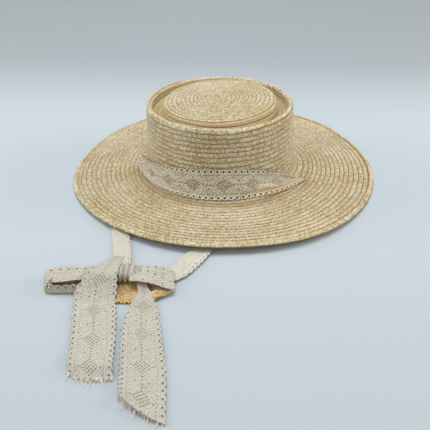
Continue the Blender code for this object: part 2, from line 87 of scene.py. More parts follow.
def read_table(table: Sequence[Row], key: float) -> Row:
    """Read a table by its first column, along a smooth curve through its rows.

    Args:
        table: Rows in the order of their first column.
        key: The place in the first column.

    Returns:
        The other columns at that place.
    """
    last = len(table) - 1
    key = min(max(key, table[0][0]), table[last][0])
    index = min(bisect.bisect_right(table, key, key=lambda row: row[0]), last) - 1
    before, here, there, after = (table[min(max(index + k, 0), last)] for k in (-1, 0, 1, 2))
    span = there[0] - here[0]
    t = (key - here[0]) / span
    values = []
    for a, b, c, d in zip(before[1:], here[1:], there[1:], after[1:]):
        leave = (c - a) / (there[0] - before[0]) * span
        reach = (d - b) / (after[0] - here[0]) * span
        values.append(
            (2 * t**3 - 3 * t**2 + 1) * b + (t**3 - 2 * t**2 + t) * leave
            + (3 * t**2 - 2 * t**3) * c + (t**3 - t**2) * reach
        )
    return tuple(values)


def along_rows(table: Sequence[Row], share: float) -> Row:
    """Read all columns of a table at a share of the way through its rows.

    Args:
        table: Rows of a strip, which may turn back on itself.
        share: Share of the way from the first row to the last.

    Returns:
        Every column at that place.
    """
    keyed = [(float(index), *row) for index, row in enumerate(table)]
    return read_table(keyed, share * (len(table) - 1))


@dataclass(frozen=True)
class HatPlace:
    """Where the hat and the bow stand in the frame."""

    axis: Vector
    lay_turn: float

    def hat(self, point: Vector) -> Vector:
        """Point of the frame for a point of the hat's own frame."""
        return point + self.axis

    def bow(self, point: Vector) -> Vector:
        """Point of the frame for a point of the bow's frame."""
        return Matrix.Rotation(self.lay_turn, 3, "Z") @ point + self.axis

    def to_bow(self, point: Vector) -> Vector:
        """Point of the bow's frame for a point of the frame."""
        return Matrix.Rotation(-self.lay_turn, 3, "Z") @ (point - self.axis)


def by_maths(operation: str) -> Callable[..., "Signal"]:
    """Make a method of Signal that is worked out by a Math node.

    Args:
        operation: Name of the node's operation.

    Returns:
        The method, which takes the other numbers of the operation.
    """
    def method(self: "Signal", *others: "Number") -> "Signal":
        """Result of the node."""
        return self.bench.maths(operation, self, *others)
    return method


class Signal:
    """A number that changes over a surface, with the operators of plain numbers."""

    def __init__(self, bench: "NodeBench", socket: bpy.types.NodeSocket) -> None:
        """Wrap an output socket of a node tree."""
        self.bench = bench
        self.socket = socket

    __add__ = __radd__ = by_maths("ADD")
    __mul__ = __rmul__ = by_maths("MULTIPLY")
    __sub__ = by_maths("SUBTRACT")
    __truediv__ = by_maths("DIVIDE")
    __pow__ = by_maths("POWER")
    __abs__ = by_maths("ABSOLUTE")
    floor = by_maths("FLOOR")
    fraction = by_maths("FRACT")
    sine = by_maths("SINE")
    least = by_maths("MINIMUM")
    most = by_maths("MAXIMUM")

    def __rsub__(self, other: "Number") -> "Signal":
        """Difference from a plain number."""
        return self.bench.maths("SUBTRACT", other, self)

    def below(self, edge: float, soft: float) -> "Signal":
        """1 well below an edge and 0 above it, over a soft step."""
        return self.bench.step(self, edge + soft, edge - soft)

    def above(self, edge: float, soft: float) -> "Signal":
        """1 well above an edge and 0 below it, over a soft step."""
        return self.bench.step(self, edge - soft, edge + soft)


Number = Signal | float


@dataclass
class NodeBench:
    """Builds the node tree of one material."""

    name: str
    material: bpy.types.Material = field(init=False)
    shader: bpy.types.ShaderNode = field(init=False)

    def __post_init__(self) -> None:
        """Start from a material with its plain shader."""
        self.material = bpy.data.materials.new(self.name)
        self.material.use_nodes = True
        self.shader = self.material.node_tree.nodes["Principled BSDF"]

    def node(self, kind: str, settings: dict, inputs: dict) -> bpy.types.ShaderNode:
        """Add a node.

        Args:
            kind: Type of the node.
            settings: Its settings, which are set first.
            inputs: Values or links by the number or the name of the socket.

        Returns:
            The node.
        """
        node = self.material.node_tree.nodes.new(kind)
        for name, value in settings.items():
            setattr(node, name, value)
        for key, value in inputs.items():
            self.feed(node.inputs[key], value)
        return node

    def feed(self, socket: bpy.types.NodeSocket, value: object) -> None:
        """Set an input of a node, or link it.

        Args:
            socket: The input.
            value: A plain value, a signal or another node's socket.
        """
        if isinstance(value, Signal):
            value = value.socket
        if isinstance(value, bpy.types.NodeSocket):
            self.material.node_tree.links.new(value, socket)
        else:
            socket.default_value = value

    def surface(self, inputs: dict) -> bpy.types.Material:
        """Feed the shader's own inputs.

        Args:
            inputs: Values or links by the name of the socket.

        Returns:
            The finished material.
        """
        for name, value in inputs.items():
            self.feed(self.shader.inputs[name], value)
        return self.material

    def maths(self, operation: str, *values: Number) -> Signal:
        """Add a Math node for an operation on values."""
        node = self.node("ShaderNodeMath", {"operation": operation}, dict(enumerate(values)))
        return Signal(self, node.outputs[0])

    def step(self, value: Signal, low: float, high: float) -> Signal:
        """Step softly between two edges.

        Args:
            value: The number that is stepped.
            low: Where the share is 0.
            high: Where the share is 1.

        Returns:
            The share, with soft ends.
        """
        inputs = {"Value": value, "From Min": low, "From Max": high}
        node = self.node("ShaderNodeMapRange", {"interpolation_type": "SMOOTHSTEP"}, inputs)
        return Signal(self, node.outputs[0])

    def split(self, vector: bpy.types.NodeSocket) -> tuple[Signal, ...]:
        """The three numbers of a vector."""
        parts = self.node("ShaderNodeSeparateXYZ", {}, {0: vector})
        return tuple(Signal(self, socket) for socket in parts.outputs)

    def uv(self, layer: str) -> tuple[Signal, ...]:
        """The two coordinates of a UV map."""
        return self.split(self.node("ShaderNodeUVMap", {"uv_map": layer}, {}).outputs[0])[:2]

    def vector(self, x: Number, y: Number, z: Number = 0.0) -> bpy.types.NodeSocket:
        """Join three numbers to a vector."""
        return self.node("ShaderNodeCombineXYZ", {}, {0: x, 1: y, 2: z}).outputs[0]

    def dice(self, x: Number, y: Number, z: Number = 0.0) -> Signal:
        """A fixed number from 0 to 1 for each whole vector."""
        node = self.node("ShaderNodeTexWhiteNoise", {"noise_dimensions": "3D"}, {0: self.vector(x, y, z)})
        return Signal(self, node.outputs["Value"])

    def clouds(self, place: bpy.types.NodeSocket, scale: float, detail: float) -> Signal:
        """Soft noise from 0 to 1 at a place."""
        node = self.node("ShaderNodeTexNoise", {}, {"Vector": place, "Scale": scale, "Detail": detail})
        return Signal(self, node.outputs[0])

    def object_place(self) -> bpy.types.NodeSocket:
        """Place on the object."""
        return self.node("ShaderNodeTexCoord", {}, {}).outputs["Object"]

    def blend(self, factor: Number, low: object, high: object) -> bpy.types.NodeSocket:
        """Mix two colours by a factor from 0 to 1."""
        # The Mix node has its colours at inputs 6 and 7 and at output 2.
        settings = {"data_type": "RGBA", "clamp_factor": True}
        return self.node("ShaderNodeMix", settings, {0: factor, 6: low, 7: high}).outputs[2]

    def relief(self, height: Signal, depth: float) -> None:
        """Feed the shader's normal from a height between 0 and 1 and its depth in metres."""
        inputs = {"Height": height, "Distance": depth, "Strength": 1.0}
        self.feed(self.shader.inputs["Normal"], self.node("ShaderNodeBump", {}, inputs).outputs[0])


@dataclass(frozen=True)
class StrawFinish:
    """Plaited straw: glossy flat straws that cross over and under each other in each row.

    Painted shade darkens the crossings, the seams under each lapped row, lines in the moat's channel and a
    strip under the lace band.
    The seam shade is deeper on the tip and on the hat's right side, where the light grazes the rows.
    The moat's channel also gets a painted warm bounce light.
    """

    pale: Row = (0.97, 0.91, 0.70, 1.0)
    golden: Row = (0.57, 0.41, 0.15, 1.0)
    # Colour of the painted shade.
    shade_brown: Row = (0.46, 0.26, 0.055, 1.0)
    # Colour of the painted warm bounce light in the moat's channel.
    bounce_gold: Row = (0.93, 0.70, 0.34, 1.0)
    tip_row: float = 12.8
    channel_rows: tuple[float, float] = (13.0, 18.9)
    # Rows, and object y range, of the painted shadow that the lace band casts on the crown's foot.
    band_shadow_rows: tuple[float, float] = (35.0, 36.5)
    band_shadow_front: tuple[float, float] = (0.075, 0.015)
    # Object x range over which the painted seam shade deepens on the hat's right side, where the light grazes
    # the rows.
    grazed_right_side: tuple[float, float] = (0.02, 0.14)
    crossings: float = 3.0
    plait_depth: float = 0.0009
    roughness: float = 0.34

    def make(self, name: str) -> bpy.types.Material:
        """Build the material.

        Args:
            name: Name of the material.

        Returns:
            A material whose pattern follows the braid's own map: plaits along a row, then rows.
        """
        bench = NodeBench(name)
        along, across = bench.uv("braid")
        row, share = across.floor(), across.fraction()
        rising = along + share * self.crossings
        falling = along - share * self.crossings
        parity = ((rising.floor() + falling.floor()) * 0.5).fraction() * 2.0
        on_top = parity.above(0.5, 0.01)

        def upper(when_below: Signal, when_above: Signal) -> Signal:
            """Value for the straw that lies on top."""
            return when_below * (1.0 - on_top) + when_above * on_top

        side = upper(falling.fraction(), rising.fraction())
        length = upper(rising.fraction(), falling.fraction())
        strand = upper(falling.floor(), rising.floor() + 57.0)
        from_middle = abs(side - 0.5) * 2.0
        from_centre = abs(length - 0.5) * 2.0
        arch = (1.0 - from_middle ** 2.0) * (1.0 - 0.55 * from_centre ** 3.0)
        fibres = (side * 41.0 + bench.dice(strand, row) * 6.0).sine() * 0.035
        own_tone = bench.dice(strand, row, 3.0)
        cell_tone = bench.dice(rising.floor(), falling.floor(), row)
        bench.relief(arch + fibres + cell_tone * 0.18, self.plait_depth)

        def between(first: float, last: float, soft_first: float, soft_last: float) -> Signal:
            """1 on the rows between two, and 0 elsewhere."""
            return across.above(first, soft_first) * across.below(last, soft_last)

        length_tone = bench.clouds(bench.vector(along * 0.045, row * 0.9), 1.0, 2.0)
        patches = bench.clouds(bench.object_place(), 26.0, 3.0)
        channel = between(*self.channel_rows, 0.5, 0.3)
        # In the moat's channel the tone is raised and blended towards a golden colour as painted warm bounce
        # light.
        tone = own_tone * 0.30 + cell_tone * 1.45 + length_tone * 0.7 + patches * 1.1 + channel * 0.3 - 1.25
        straw = bench.blend(tone, self.golden, self.pale)
        straw = bench.blend(channel * 0.5, straw, self.bounce_gold)
        # Painted shade where a straw runs under the straw that crosses it, at the sides and ends of each
        # cell.
        under = from_middle.above(0.86, 0.14).most(from_centre.above(0.90, 0.10) * 0.8)
        to_right, away, _ = bench.split(bench.object_place())
        # Painted shade under each row's lapped edge; clear makes it deeper on the tip and on the right side,
        # where the light grazes the rows.
        clear = across.below(self.tip_row, 0.4) * 0.3 + bench.step(to_right, *self.grazed_right_side)
        seam_shade = share.below(0.18, 0.11) * (1.55 - patches * 1.5 + channel * 0.3 + clear * 0.7)
        # Painted shade lines, two to a row, on the steps of the moat's channel.
        channel_shade_lines = (across * 2.0).fraction().below(0.26, 0.12) * channel
        # Painted shadow of the lace band on the rows round the crown's foot, on its front side.
        foot = between(*self.band_shadow_rows, 0.4, 0.5) * bench.step(away, *self.band_shadow_front)
        # All of these are painted shade, blended towards a brown.
        shade = (under * 0.4 + seam_shade * 0.95 + foot * 0.4).most(channel_shade_lines * 0.65).least(0.95)
        return bench.surface({
            "Base Color": bench.blend(shade, straw, self.shade_brown),
            "Roughness": self.roughness + cell_tone * 0.22 + under * 0.15,
            "Specular IOR Level": 0.65,
        })


@dataclass(frozen=True)
class LaceFinish:
    """Cotton lace: eyelets in a scalloped edge, diamonds of open mesh and lines of pinholes.

    Sizes are in millimetres, as the pattern reads the map in millimetres.
    Painted shade darkens the rims of the holes and the gaps between strands, and the raised hem rings and
    cords get a painted highlight.
    Holes can be painted as the shadowed straw behind them, and part of the lace can get a painted warm bounce
    light.
    """

    pale: Row = (0.570, 0.555, 0.500, 1.0)
    deep: Row = (0.37, 0.325, 0.235, 1.0)
    # Colour painted into the holes as the shadowed straw seen through them; None cuts them instead.
    behind: Row | None = None
    eyelet_pitch: float = 6.6
    eyelet_from_middle: float = 15.6
    eyelet_radius: float = 0.85
    edge_from_middle: float = 17.0
    scallop: float = 1.3
    dash_from_middle: float = 11.4
    dash_stretch: float = 1.25
    dash_radius: float = 0.47
    diamond_eyelets: int = 5
    diamond_half_length: float = 9.6
    diamond_half_width: float = 7.6
    mesh_pitch: float = 3.5
    hole_half: float = 0.22
    corner_holes: Table = ((0.0, 8.9), (11.0, 0.0), (14.2, 0.0), (16.5, 5.0))
    corner_radius: float = 0.66
    line_from_middle: float = 12.2
    line_pitch: float = 2.75
    weave_pitch: float = 2.0
    thread_depth: float = 0.0008
    hole_share: float = 0.65
    grain: float = 0.5
    mesh_show: float = 0.8
    dash_show: float = 0.4
    line_show: float = 0.2
    cord_show: float = 0.22
    # Painted warm bounce light: its colour, where it starts and how far it runs along, and how far below the
    # middle it reaches.
    bounce_tint: Row = (0.72, 0.53, 0.27, 1.0)
    bounce_tint_from: float | None = None
    bounce_tint_length: float = 45.0
    bounce_tint_below: float = -3.0

    def make(self, name: str) -> bpy.types.Material:
        """Build the material.

        Args:
            name: Name of the material.

        Returns:
            A material that reads the lace's own map: metres along it, then across it from its middle.
        """
        bench = NodeBench(name)
        along, across = (part / MILLIMETRE for part in bench.uv("lace"))
        out = abs(across)
        pitch = self.eyelet_pitch

        def apart(across_way: Signal, along_way: Signal) -> Signal:
            """Distance for its two parts."""
            return (across_way ** 2.0 + along_way ** 2.0) ** 0.5

        beside = ((along / pitch + 0.5).fraction() - 0.5) * pitch
        from_eyelet = apart(beside, out - self.eyelet_from_middle)
        eyelet = from_eyelet.below(self.eyelet_radius, 0.14)
        bulge = (beside * (math.pi / pitch) + 0.5 * math.pi).sine() * self.scallop
        outside = (out - bulge).above(self.edge_from_middle, 0.08)
        between = ((along / (0.5 * pitch)).fraction() - 0.5) * (0.5 * pitch)
        from_dash = apart(between / self.dash_stretch, out - self.dash_from_middle)
        dash = from_dash.below(self.dash_radius, 0.1)

        period = pitch * self.diamond_eyelets
        from_diamond = abs((along / period + 0.5).fraction() - 0.5) * period
        reach = from_diamond / self.diamond_half_length + out / self.diamond_half_width
        one_way = abs(((along + across) / self.mesh_pitch).fraction() - 0.5)
        other_way = abs(((along - across) / self.mesh_pitch).fraction() - 0.5)
        mesh = one_way.most(other_way).below(self.hole_half, 0.06) * reach.below(1.0, 0.03)
        corners = functools.reduce(Signal.most, (
            apart(from_diamond - long_way, out - wide_way).below(self.corner_radius, 0.1)
            for long_way, wide_way in self.corner_holes
        ))
        line_at = self.line_from_middle * (1.0 - from_diamond / (0.5 * period))
        from_line = abs(out - line_at) * 0.8
        on_line = abs((from_diamond / self.line_pitch).fraction() - 0.5) * self.line_pitch
        line = (from_line ** 2.0 + on_line ** 2.0).below(0.19, 0.06) * reach.above(1.25, 0.02)
        inner = (mesh * self.mesh_show).most(corners * self.mesh_show).most(line * self.line_show)
        holes = eyelet.most(dash * self.dash_show).most(inner)

        turn = 0.7 * math.tau / self.weave_pitch
        rising, falling = ((along + across) * turn).sine(), ((along - across) * turn).sine()
        weave = rising * falling * 0.5 + 0.5
        strands = rising.most(falling) * 0.5 + 0.5
        hem = abs(from_eyelet - self.eyelet_radius - 0.5).below(0.42, 0.3)
        cord = from_line.below(1.7, 0.35) * from_line.above(0.6, 0.2) * reach.above(1.1, 0.05)
        fuzz = bench.clouds(bench.vector(along, across), 0.62, 3.0)
        height = strands * 0.35 + weave * 0.2 + hem * 0.5 + cord * 0.4 + fuzz * 1.1 - holes * 0.4
        bench.relief(height, self.thread_depth)

        patches = bench.clouds(bench.object_place(), 75.0, 2.0)
        # Painted shade in and round the holes (rim) and between the strands, with random grain, and a painted
        # highlight on the raised hem rings and cords.
        rim = holes.most(from_eyelet.below(self.eyelet_radius + 0.25, 0.3) * 0.4)
        grain_and_gap_shade = fuzz.below(0.5, 0.10) * self.grain + (1.0 - strands) * 0.45 + patches * 0.30
        raised_highlight = hem * (self.cord_show + 0.25) + cord * self.cord_show
        thread = bench.blend(rim * 0.8 + grain_and_gap_shade - raised_highlight - 0.22, self.pale, self.deep)
        # Painted warm bounce light on the lower part of the lace towards its far end.
        if self.bounce_tint_from is not None:
            bounce_tint = bench.step(along, self.bounce_tint_from, self.bounce_tint_from + self.bounce_tint_length)
            bounce_tint = bounce_tint * across.below(self.bounce_tint_below, 1.5) * (0.15 + fuzz * 0.5)
            thread = bench.blend(bounce_tint, thread, self.bounce_tint)
        # With a colour behind, the holes are painted as the shadowed straw seen through them, and only the
        # edge is cut.
        if self.behind:
            thread, solid = bench.blend(holes, thread, self.behind), 1.0 - outside
        else:
            solid = 1.0 - (holes * self.hole_share).most(outside)
        return bench.surface({
            "Base Color": thread, "Alpha": solid, "Roughness": 0.9, "Specular IOR Level": 0.2,
        })


@dataclass(frozen=True)
class ThreadFinish:
    """Loose cotton thread at the cut ends."""

    pale: Row = (0.86, 0.83, 0.75, 1.0)
    deep: Row = (0.70, 0.64, 0.52, 1.0)

    def make(self, name: str) -> bpy.types.Material:
        """Build the material.

        Args:
            name: Name of the material.

        Returns:
            A material with a fine mottle.
        """
        bench = NodeBench(name)
        mottle = bench.clouds(bench.object_place(), 900.0, 2.0)
        bench.relief(mottle, 0.0002)
        return bench.surface({"Base Color": bench.blend(mottle, self.deep, self.pale), "Roughness": 0.9})


def only(piece: bpy.types.Object) -> None:
    """Select one object alone and make it active.

    Args:
        piece: The object.
    """
    bpy.ops.object.select_all(action="DESELECT")
    piece.select_set(True)
    bpy.context.view_layer.objects.active = piece


def grid_piece(
    name: str, columns: int, rows: int, place: Callable[[int, int], Vector],
    layer: str, chart: Callable[[int, int, int], tuple[float, float]],
) -> bpy.types.Object:
    """Add a grid and lay each of its points where it belongs.

    Args:
        name: Name of the piece.
        columns: Faces across the grid.
        rows: Faces along the grid.
        place: Point for a column and a row.
        layer: Name of the UV map.
        chart: Map coordinates for a column and a row, then the column of the face.

    Returns:
        The piece.
    """
    bpy.ops.object.select_all(action="DESELECT")
    bpy.ops.mesh.primitive_grid_add(x_subdivisions=columns, y_subdivisions=rows, size=1.0)
    piece = bpy.context.object
    piece.name = piece.data.name = name
    mesh = piece.data
    across = columns + 1
    for vertex in mesh.vertices:
        vertex.co = place(vertex.index % across, vertex.index // across)
    mesh.uv_layers.active.name = layer
    coordinates = mesh.uv_layers[layer].data
    for face in mesh.polygons:
        corners = [divmod(mesh.loops[loop].vertex_index, across) for loop in face.loop_indices]
        face_column = min(column for _, column in corners)
        for loop, (row, column) in zip(face.loop_indices, corners):
            coordinates[loop].uv = chart(column, row, face_column)
    return piece


def close_up(piece: bpy.types.Object, smooth_deg: float) -> None:
    """Merge the seams of a piece, point its faces outwards and shade it smooth.

    Args:
        piece: The mesh.
        smooth_deg: Largest angle between faces that are shaded as one surface.
    """
    only(piece)
    bpy.ops.object.mode_set(mode="EDIT")
    bpy.ops.mesh.select_all(action="SELECT")
    bpy.ops.mesh.remove_doubles(threshold=MERGE)
    bpy.ops.mesh.dissolve_degenerate(threshold=0.1 * MERGE)
    bpy.ops.mesh.normals_make_consistent(inside=False)
    bpy.ops.object.mode_set(mode="OBJECT")
    bpy.ops.object.shade_smooth_by_angle(angle=math.radians(smooth_deg))


def apply_modifier(piece: bpy.types.Object, kind: str, **settings: object) -> None:
    """Add a modifier and apply it.

    Args:
        piece: The object that gets it.
        kind: Type of the modifier.
        settings: Its settings by name.
    """
    only(piece)
    modifier = piece.modifiers.new(kind.title(), kind)
    for name, value in settings.items():
        setattr(modifier, name, value)
    bpy.ops.object.modifier_apply(modifier=modifier.name)


def dress(piece: bpy.types.Object, material: bpy.types.Material, slot: Slot, *nodes: str) -> bpy.types.Object:
    """Give a piece its finish and its place in the part.

    Args:
        piece: The finished mesh.
        material: Its first material.
        slot: Not used.
        nodes: CAD nodes that it stands for.

    Returns:
        The piece.
    """
    piece.data.materials.clear()
    piece.data.materials.append(material)
    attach(piece, BODY)
    if nodes:
        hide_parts(*nodes)
    LOG.info("%s: %d faces", piece.name, len(piece.data.polygons))
    return piece


@dataclass
class StrawHat:
    """The crown and the brim, one spiral of overlapping braid from the tip to the edge."""

    base_half_width: float = 0.0876
    rim_half_width: float = 0.0832
    rim_height: float = 0.0845
    crown_oval: float = 1.09
    settled: tuple[float, float] = (-0.0033, -0.0009)
    lean: tuple[float, float] = (-0.0024, -0.0027)
    rim_oval: float = 1.050
    moat_depth: float = 0.0114
    moat_width: float = 0.0120
    rim_drop: float = 0.34
    tip_half_width: float = 0.0625
    tip_rise: float = 0.0014
    tip_dome: float = 0.0030
    tip_tilt_deg: float = 2.5
    tip_tilt_towards_deg: float = 215.0
    brim_half_width: float = 0.1772
    brim_oval: float = 1.068
    brim_thickness: float = 0.0020
    brim_rise: float = 0.0035
    fillet: float = 0.0100
    front_lift: float = 0.0066
    lay_turn_deg: float = 15.0
    wall: float = 0.0016
    lap: float = 0.0009
    tip_lap_share: float = 0.62
    plait: float = 0.0018
    turns: int = 240
    edge_turns: int = 320
    tip_rows: int = 13
    rim_row: int = 20
    foot_row: float = 32.4
    flat_row: float = 35.3
    edge_row: float = 50.0
    split_row: int = 33
    covered_row: float = 49.2
    edge_lap: float = 0.0062
    under_share: float = 0.4
    unevenness: float = 0.0004
    slot_angle_deg: float = 11.25
    slot_radius: float = 0.1010
    slot_length: float = 0.0080
    slot_width: float = 0.0036

    # Steps down from the tip, over the moat and up to the outside of the rim.
    # Columns: row, share of the way out from the tip's edge, share of the moat's depth above the rim.
    MOAT_ROWS = (
        (12.0, -0.25, 0.20),
        (13.0, 0.00, 0.12),
        (14.0, 0.10, -0.26),
        (15.0, 0.20, -0.66),
        (16.0, 0.43, -0.97),
        (17.0, 0.66, -0.93),
        (18.0, 0.76, -0.62),
        (19.0, 0.775, -0.22),
        (19.45, 0.87, 0.00),
        (19.75, 0.985, -0.09),
        (20.0, 1.00, -0.34),
        (21.0, 1.02, -0.88),
    )
    # Relief of one row, outside and inside. Columns: share of the row, share of the lap that it stands out.
    ROW_RELIEF = ((0.0, 0.0), (0.10, 0.22), (0.30, 0.62), (0.58, 0.92), (0.83, 1.00), (0.965, 0.82))
    UNDER_RELIEF = ((0.0, 0.0), (0.48, 0.45), (0.94, 0.30))
    # Last round of braid. Columns: way out from its inner side, height as a share of the brim's
    # thickness, rows of the map.
    EDGE_OUTLINE = (
        (0.0, 1.30, 0.0),
        (0.0008, 1.60, 0.1),
        (0.0030, 1.65, 0.4),
        (0.0052, 1.40, 0.7),
        (0.0063, 0.80, 0.95),
        (0.0064, 0.40, 1.15),
        (0.0056, 0.05, 1.4),
        (0.0030, 0.02, 1.7),
        (0.0002, 0.10, 1.98),
        (0.0, 1.30, 2.0),
    )
    # Columns: direction in degrees, share of the half width by which the edge lies further out.
    EDGE_SWELL = (
        (-10.0, 0.006),
        (15.0, 0.001),
        (45.0, 0.003),
        (60.0, 0.024),
        (95.0, 0.012),
        (155.0, 0.010),
        (180.0, -0.004),
        (208.0, 0.007),
        (232.0, -0.003),
        (265.0, -0.008),
        (290.0, -0.004),
        (312.0, 0.013),
        (332.0, 0.012),
        (350.0, 0.006),
        (375.0, 0.001),
    )

    def foot(self) -> tuple[float, float]:
        """Radius and height of the centre of the fillet between crown and brim."""
        return self.base_half_width + self.fillet, self.brim_rise + self.brim_thickness + self.fillet

    def section(self, row: float) -> tuple[float, float]:
        """Follow the hat's smooth section from the tip to the brim's edge.

        Args:
            row: Row along the section, counted from the tip.

        Returns:
            Radius and height there.
        """
        centre, base = self.foot()
        if row < self.tip_rows - 0.5:
            share = row / self.tip_rows
            height = self.rim_height + self.tip_rise + self.tip_dome * (1.0 - share**2)
            return self.tip_half_width * share, height
        if row < self.rim_row:
            out, up = read_table(self.MOAT_ROWS, row)
            span = self.rim_half_width - self.tip_half_width
            return self.tip_half_width + out * span, self.rim_height + up * self.moat_depth
        if row < self.foot_row:
            share = (row - self.rim_row) / (self.foot_row - self.rim_row)
            top = self.rim_height - self.rim_drop * self.moat_depth
            radius = self.rim_half_width + (self.base_half_width - self.rim_half_width) * share
            return radius, top + (base - top) * share
        if row < self.flat_row:
            turn = 0.5 * math.pi * (row - self.foot_row) / (self.flat_row - self.foot_row)
            return centre - self.fillet * math.cos(turn), base - self.fillet * math.sin(turn)
        share = (row - self.flat_row) / (self.edge_row - self.flat_row)
        radius = centre + (self.brim_half_width - centre) * share
        return radius, self.brim_thickness + self.brim_rise * (1.0 - share)

    def brim_share(self, radius: float) -> float:
        """Share of the way from the crown to the brim's edge."""
        centre = self.foot()[0]
        return min(1.0, max(0.0, (radius - centre) / (self.brim_half_width - centre)))

    def rise(self, height: float) -> float:
        """Share of the way up the wall."""
        base = self.foot()[1]
        return max(0.0, (height - base) / (self.rim_height - base))

    def oval(self, radius: float, height: float) -> float:
        """Depth over width of the hat at a place of its section."""
        wall = self.crown_oval + (self.rim_oval - self.crown_oval) * self.rise(height)
        return wall + (self.brim_oval - self.crown_oval) * self.brim_share(radius)

    def aside(self, radius: float, height: float) -> Vector:
        """Find how far the crown stands aside of the brim's middle.

        Args:
            radius: Distance from the axis before the hat is made oval.
            height: Height over the table.

        Returns:
            The way aside.
        """
        near = 1.0 - smooth_share(self.base_half_width, self.base_half_width + self.fillet, radius)
        rise = self.rise(height)
        x, y = (settled * near + lean * rise for settled, lean in zip(self.settled, self.lean))
        return Vector((x, y, 0.0))

    def shaped(self, radius: float, height: float, angle: float) -> Vector:
        """Point of the oval, leaning hat for a point of its round section.

        Args:
            radius: Distance from the axis before the hat is made oval.
            height: Height over the table.
            angle: Direction in radians.

        Returns:
            The point in the hat's own frame.
        """
        x, y = radius * math.cos(angle), radius * math.sin(angle)
        stands, oval = self.aside(radius, height), self.oval(radius, height)
        if radius < self.tip_half_width + 0.5 * self.moat_width and height > self.foot()[1]:
            tilt = math.tan(math.radians(self.tip_tilt_deg))
            towards = math.radians(self.tip_tilt_towards_deg)
            up = min(1.0, max(0.0, (height - self.rim_height + self.moat_depth) / self.moat_depth))
            height -= up * tilt * (x * math.cos(towards) + y * math.sin(towards))
        share = self.brim_share(radius)
        swell = 1.0 + read_table(self.EDGE_SWELL, math.degrees(angle) % 360.0)[0] * share**2
        facing = max(0.0, math.cos(angle - math.radians(270.0 + self.lay_turn_deg)))
        height += self.front_lift * facing**2 * share**1.5
        return Vector((x * swell, y * swell * oval, height)) + stands

    def wander(self, row: float, angle: float) -> float:
        """Stray from a row's place as hand-sewn braid does.

        Args:
            row: Row along the spiral, counted from the tip.
            angle: Direction in radians.

        Returns:
            How far it strays, in rows.
        """
        stray = 0.06 * math.sin(2.0 * angle + 0.55 * row) + 0.045 * math.sin(5.0 * angle - 0.9 * row + 1.0)
        steps = smooth_share(12.5, 13.5, row) * (1.0 - smooth_share(16.5, 17.5, row))
        return stray + 0.30 * steps * math.sin(angle - 4.4)

    def braid_point(self, row: float, angle: float, relief: float, under: bool) -> Vector:
        """Point on the braid.

        Args:
            row: Row along the spiral, counted from the tip.
            angle: Direction in radians.
            relief: Share of the lap that the braid stands out there.
            under: Whether the point is on the hat's inner side.

        Returns:
            The point in the hat's own frame.
        """
        row = min(max(row, 0.0), self.covered_row)
        ends = min(1.0, row / 0.4, (self.covered_row - row) / 0.2)
        strayed = min(max(row + self.wander(row, angle) * ends, 0.0), self.edge_row)
        radius, height = self.section(strayed)
        near, far = self.section(max(0.0, strayed - 0.08)), self.section(strayed + 0.08)
        run = Vector((1.0, 0.0))
        if row > 0.0:
            run = Vector((far[0] - near[0], far[1] - near[1])).normalized()
        lap = self.lap * (self.tip_lap_share if row < self.tip_rows else 1.0)
        offset = -self.wall - relief * ends * self.under_share * lap if under else relief * ends * lap
        point = self.shaped(max(0.0, radius - run.y * offset), height + run.x * offset, angle)
        if 0.0 < row < self.covered_row:
            point += Vector((0.0, 0.0, 1.0)) * self.unevenness * noise.noise(point * 45.0) * ends
        return point

    def shell(self, name: str, first: int, last: float, place: HatPlace) -> bpy.types.Object:
        """Build the braid between two rows of the spiral.

        Args:
            name: Name of the piece.
            first: Row at which it starts.
            last: Row at which it ends.
            place: Where the hat stands.

        Returns:
            The closed shell.
        """
        def face_of(relief_rows: Table, under: bool) -> list[tuple[float, float, bool]]:
            """Go across one side of the braid.

            Args:
                relief_rows: Relief of one row on that side.
                under: Whether it is the inner side.

            Returns:
                Row, relief and side for each place.
            """
            places = [
                (row + share, relief, under)
                for row in range(first, math.ceil(last))
                for share, relief in relief_rows
                if row + share < last
            ]
            return places + [(float(last), 0.0, under)]

        loop = face_of(self.ROW_RELIEF, False) + face_of(self.UNDER_RELIEF, True)[::-1]
        if first > 0:
            loop.append(loop[0])
        plaits = [
            max(1, round(math.tau * self.section(min(row + 0.5, self.edge_row))[0] / self.plait))
            for row in range(math.ceil(last) + 1)
        ]

        def lay(column: int, step: int) -> Vector:
            """Lay the spiral.

            Args:
                column: Place in the loop.
                step: Step of the turn.

            Returns:
                Point of the frame.
            """
            row, relief, under = loop[column]
            turned = step / self.turns
            started = row + 0.5 - turned if row > 0.0 else 0.0
            return place.hat(self.braid_point(started, math.pi * (0.5 + 2.0 * turned), relief, under))

        def chart(column: int, step: int, face_column: int) -> tuple[float, float]:
            """Chart the spiral: plaits along the row, then the row."""
            row = math.floor(0.5 * (loop[face_column][0] + loop[face_column + 1][0]))
            return step / self.turns * plaits[row], row + min(max(loop[column][0] - row, 0.0), 0.9999)

        piece = grid_piece(name, len(loop) - 1, self.turns, lay, "braid", chart)
        close_up(piece, 50.0)
        return piece

    def slot_place(self, side: float) -> Vector:
        """Find the middle of a slot.

        Args:
            side: -1 for the left slot and 1 for the right one.

        Returns:
            The point in the hat's own frame.
        """
        angle = math.radians(-self.slot_angle_deg)
        share = self.brim_share(self.slot_radius)
        oval = self.crown_oval + (self.brim_oval - self.crown_oval) * share
        height = self.brim_thickness + self.brim_rise * (1.0 - share)
        x, y = self.slot_radius * math.cos(angle), self.slot_radius * oval * math.sin(angle)
        return Vector((side * x, y, height))

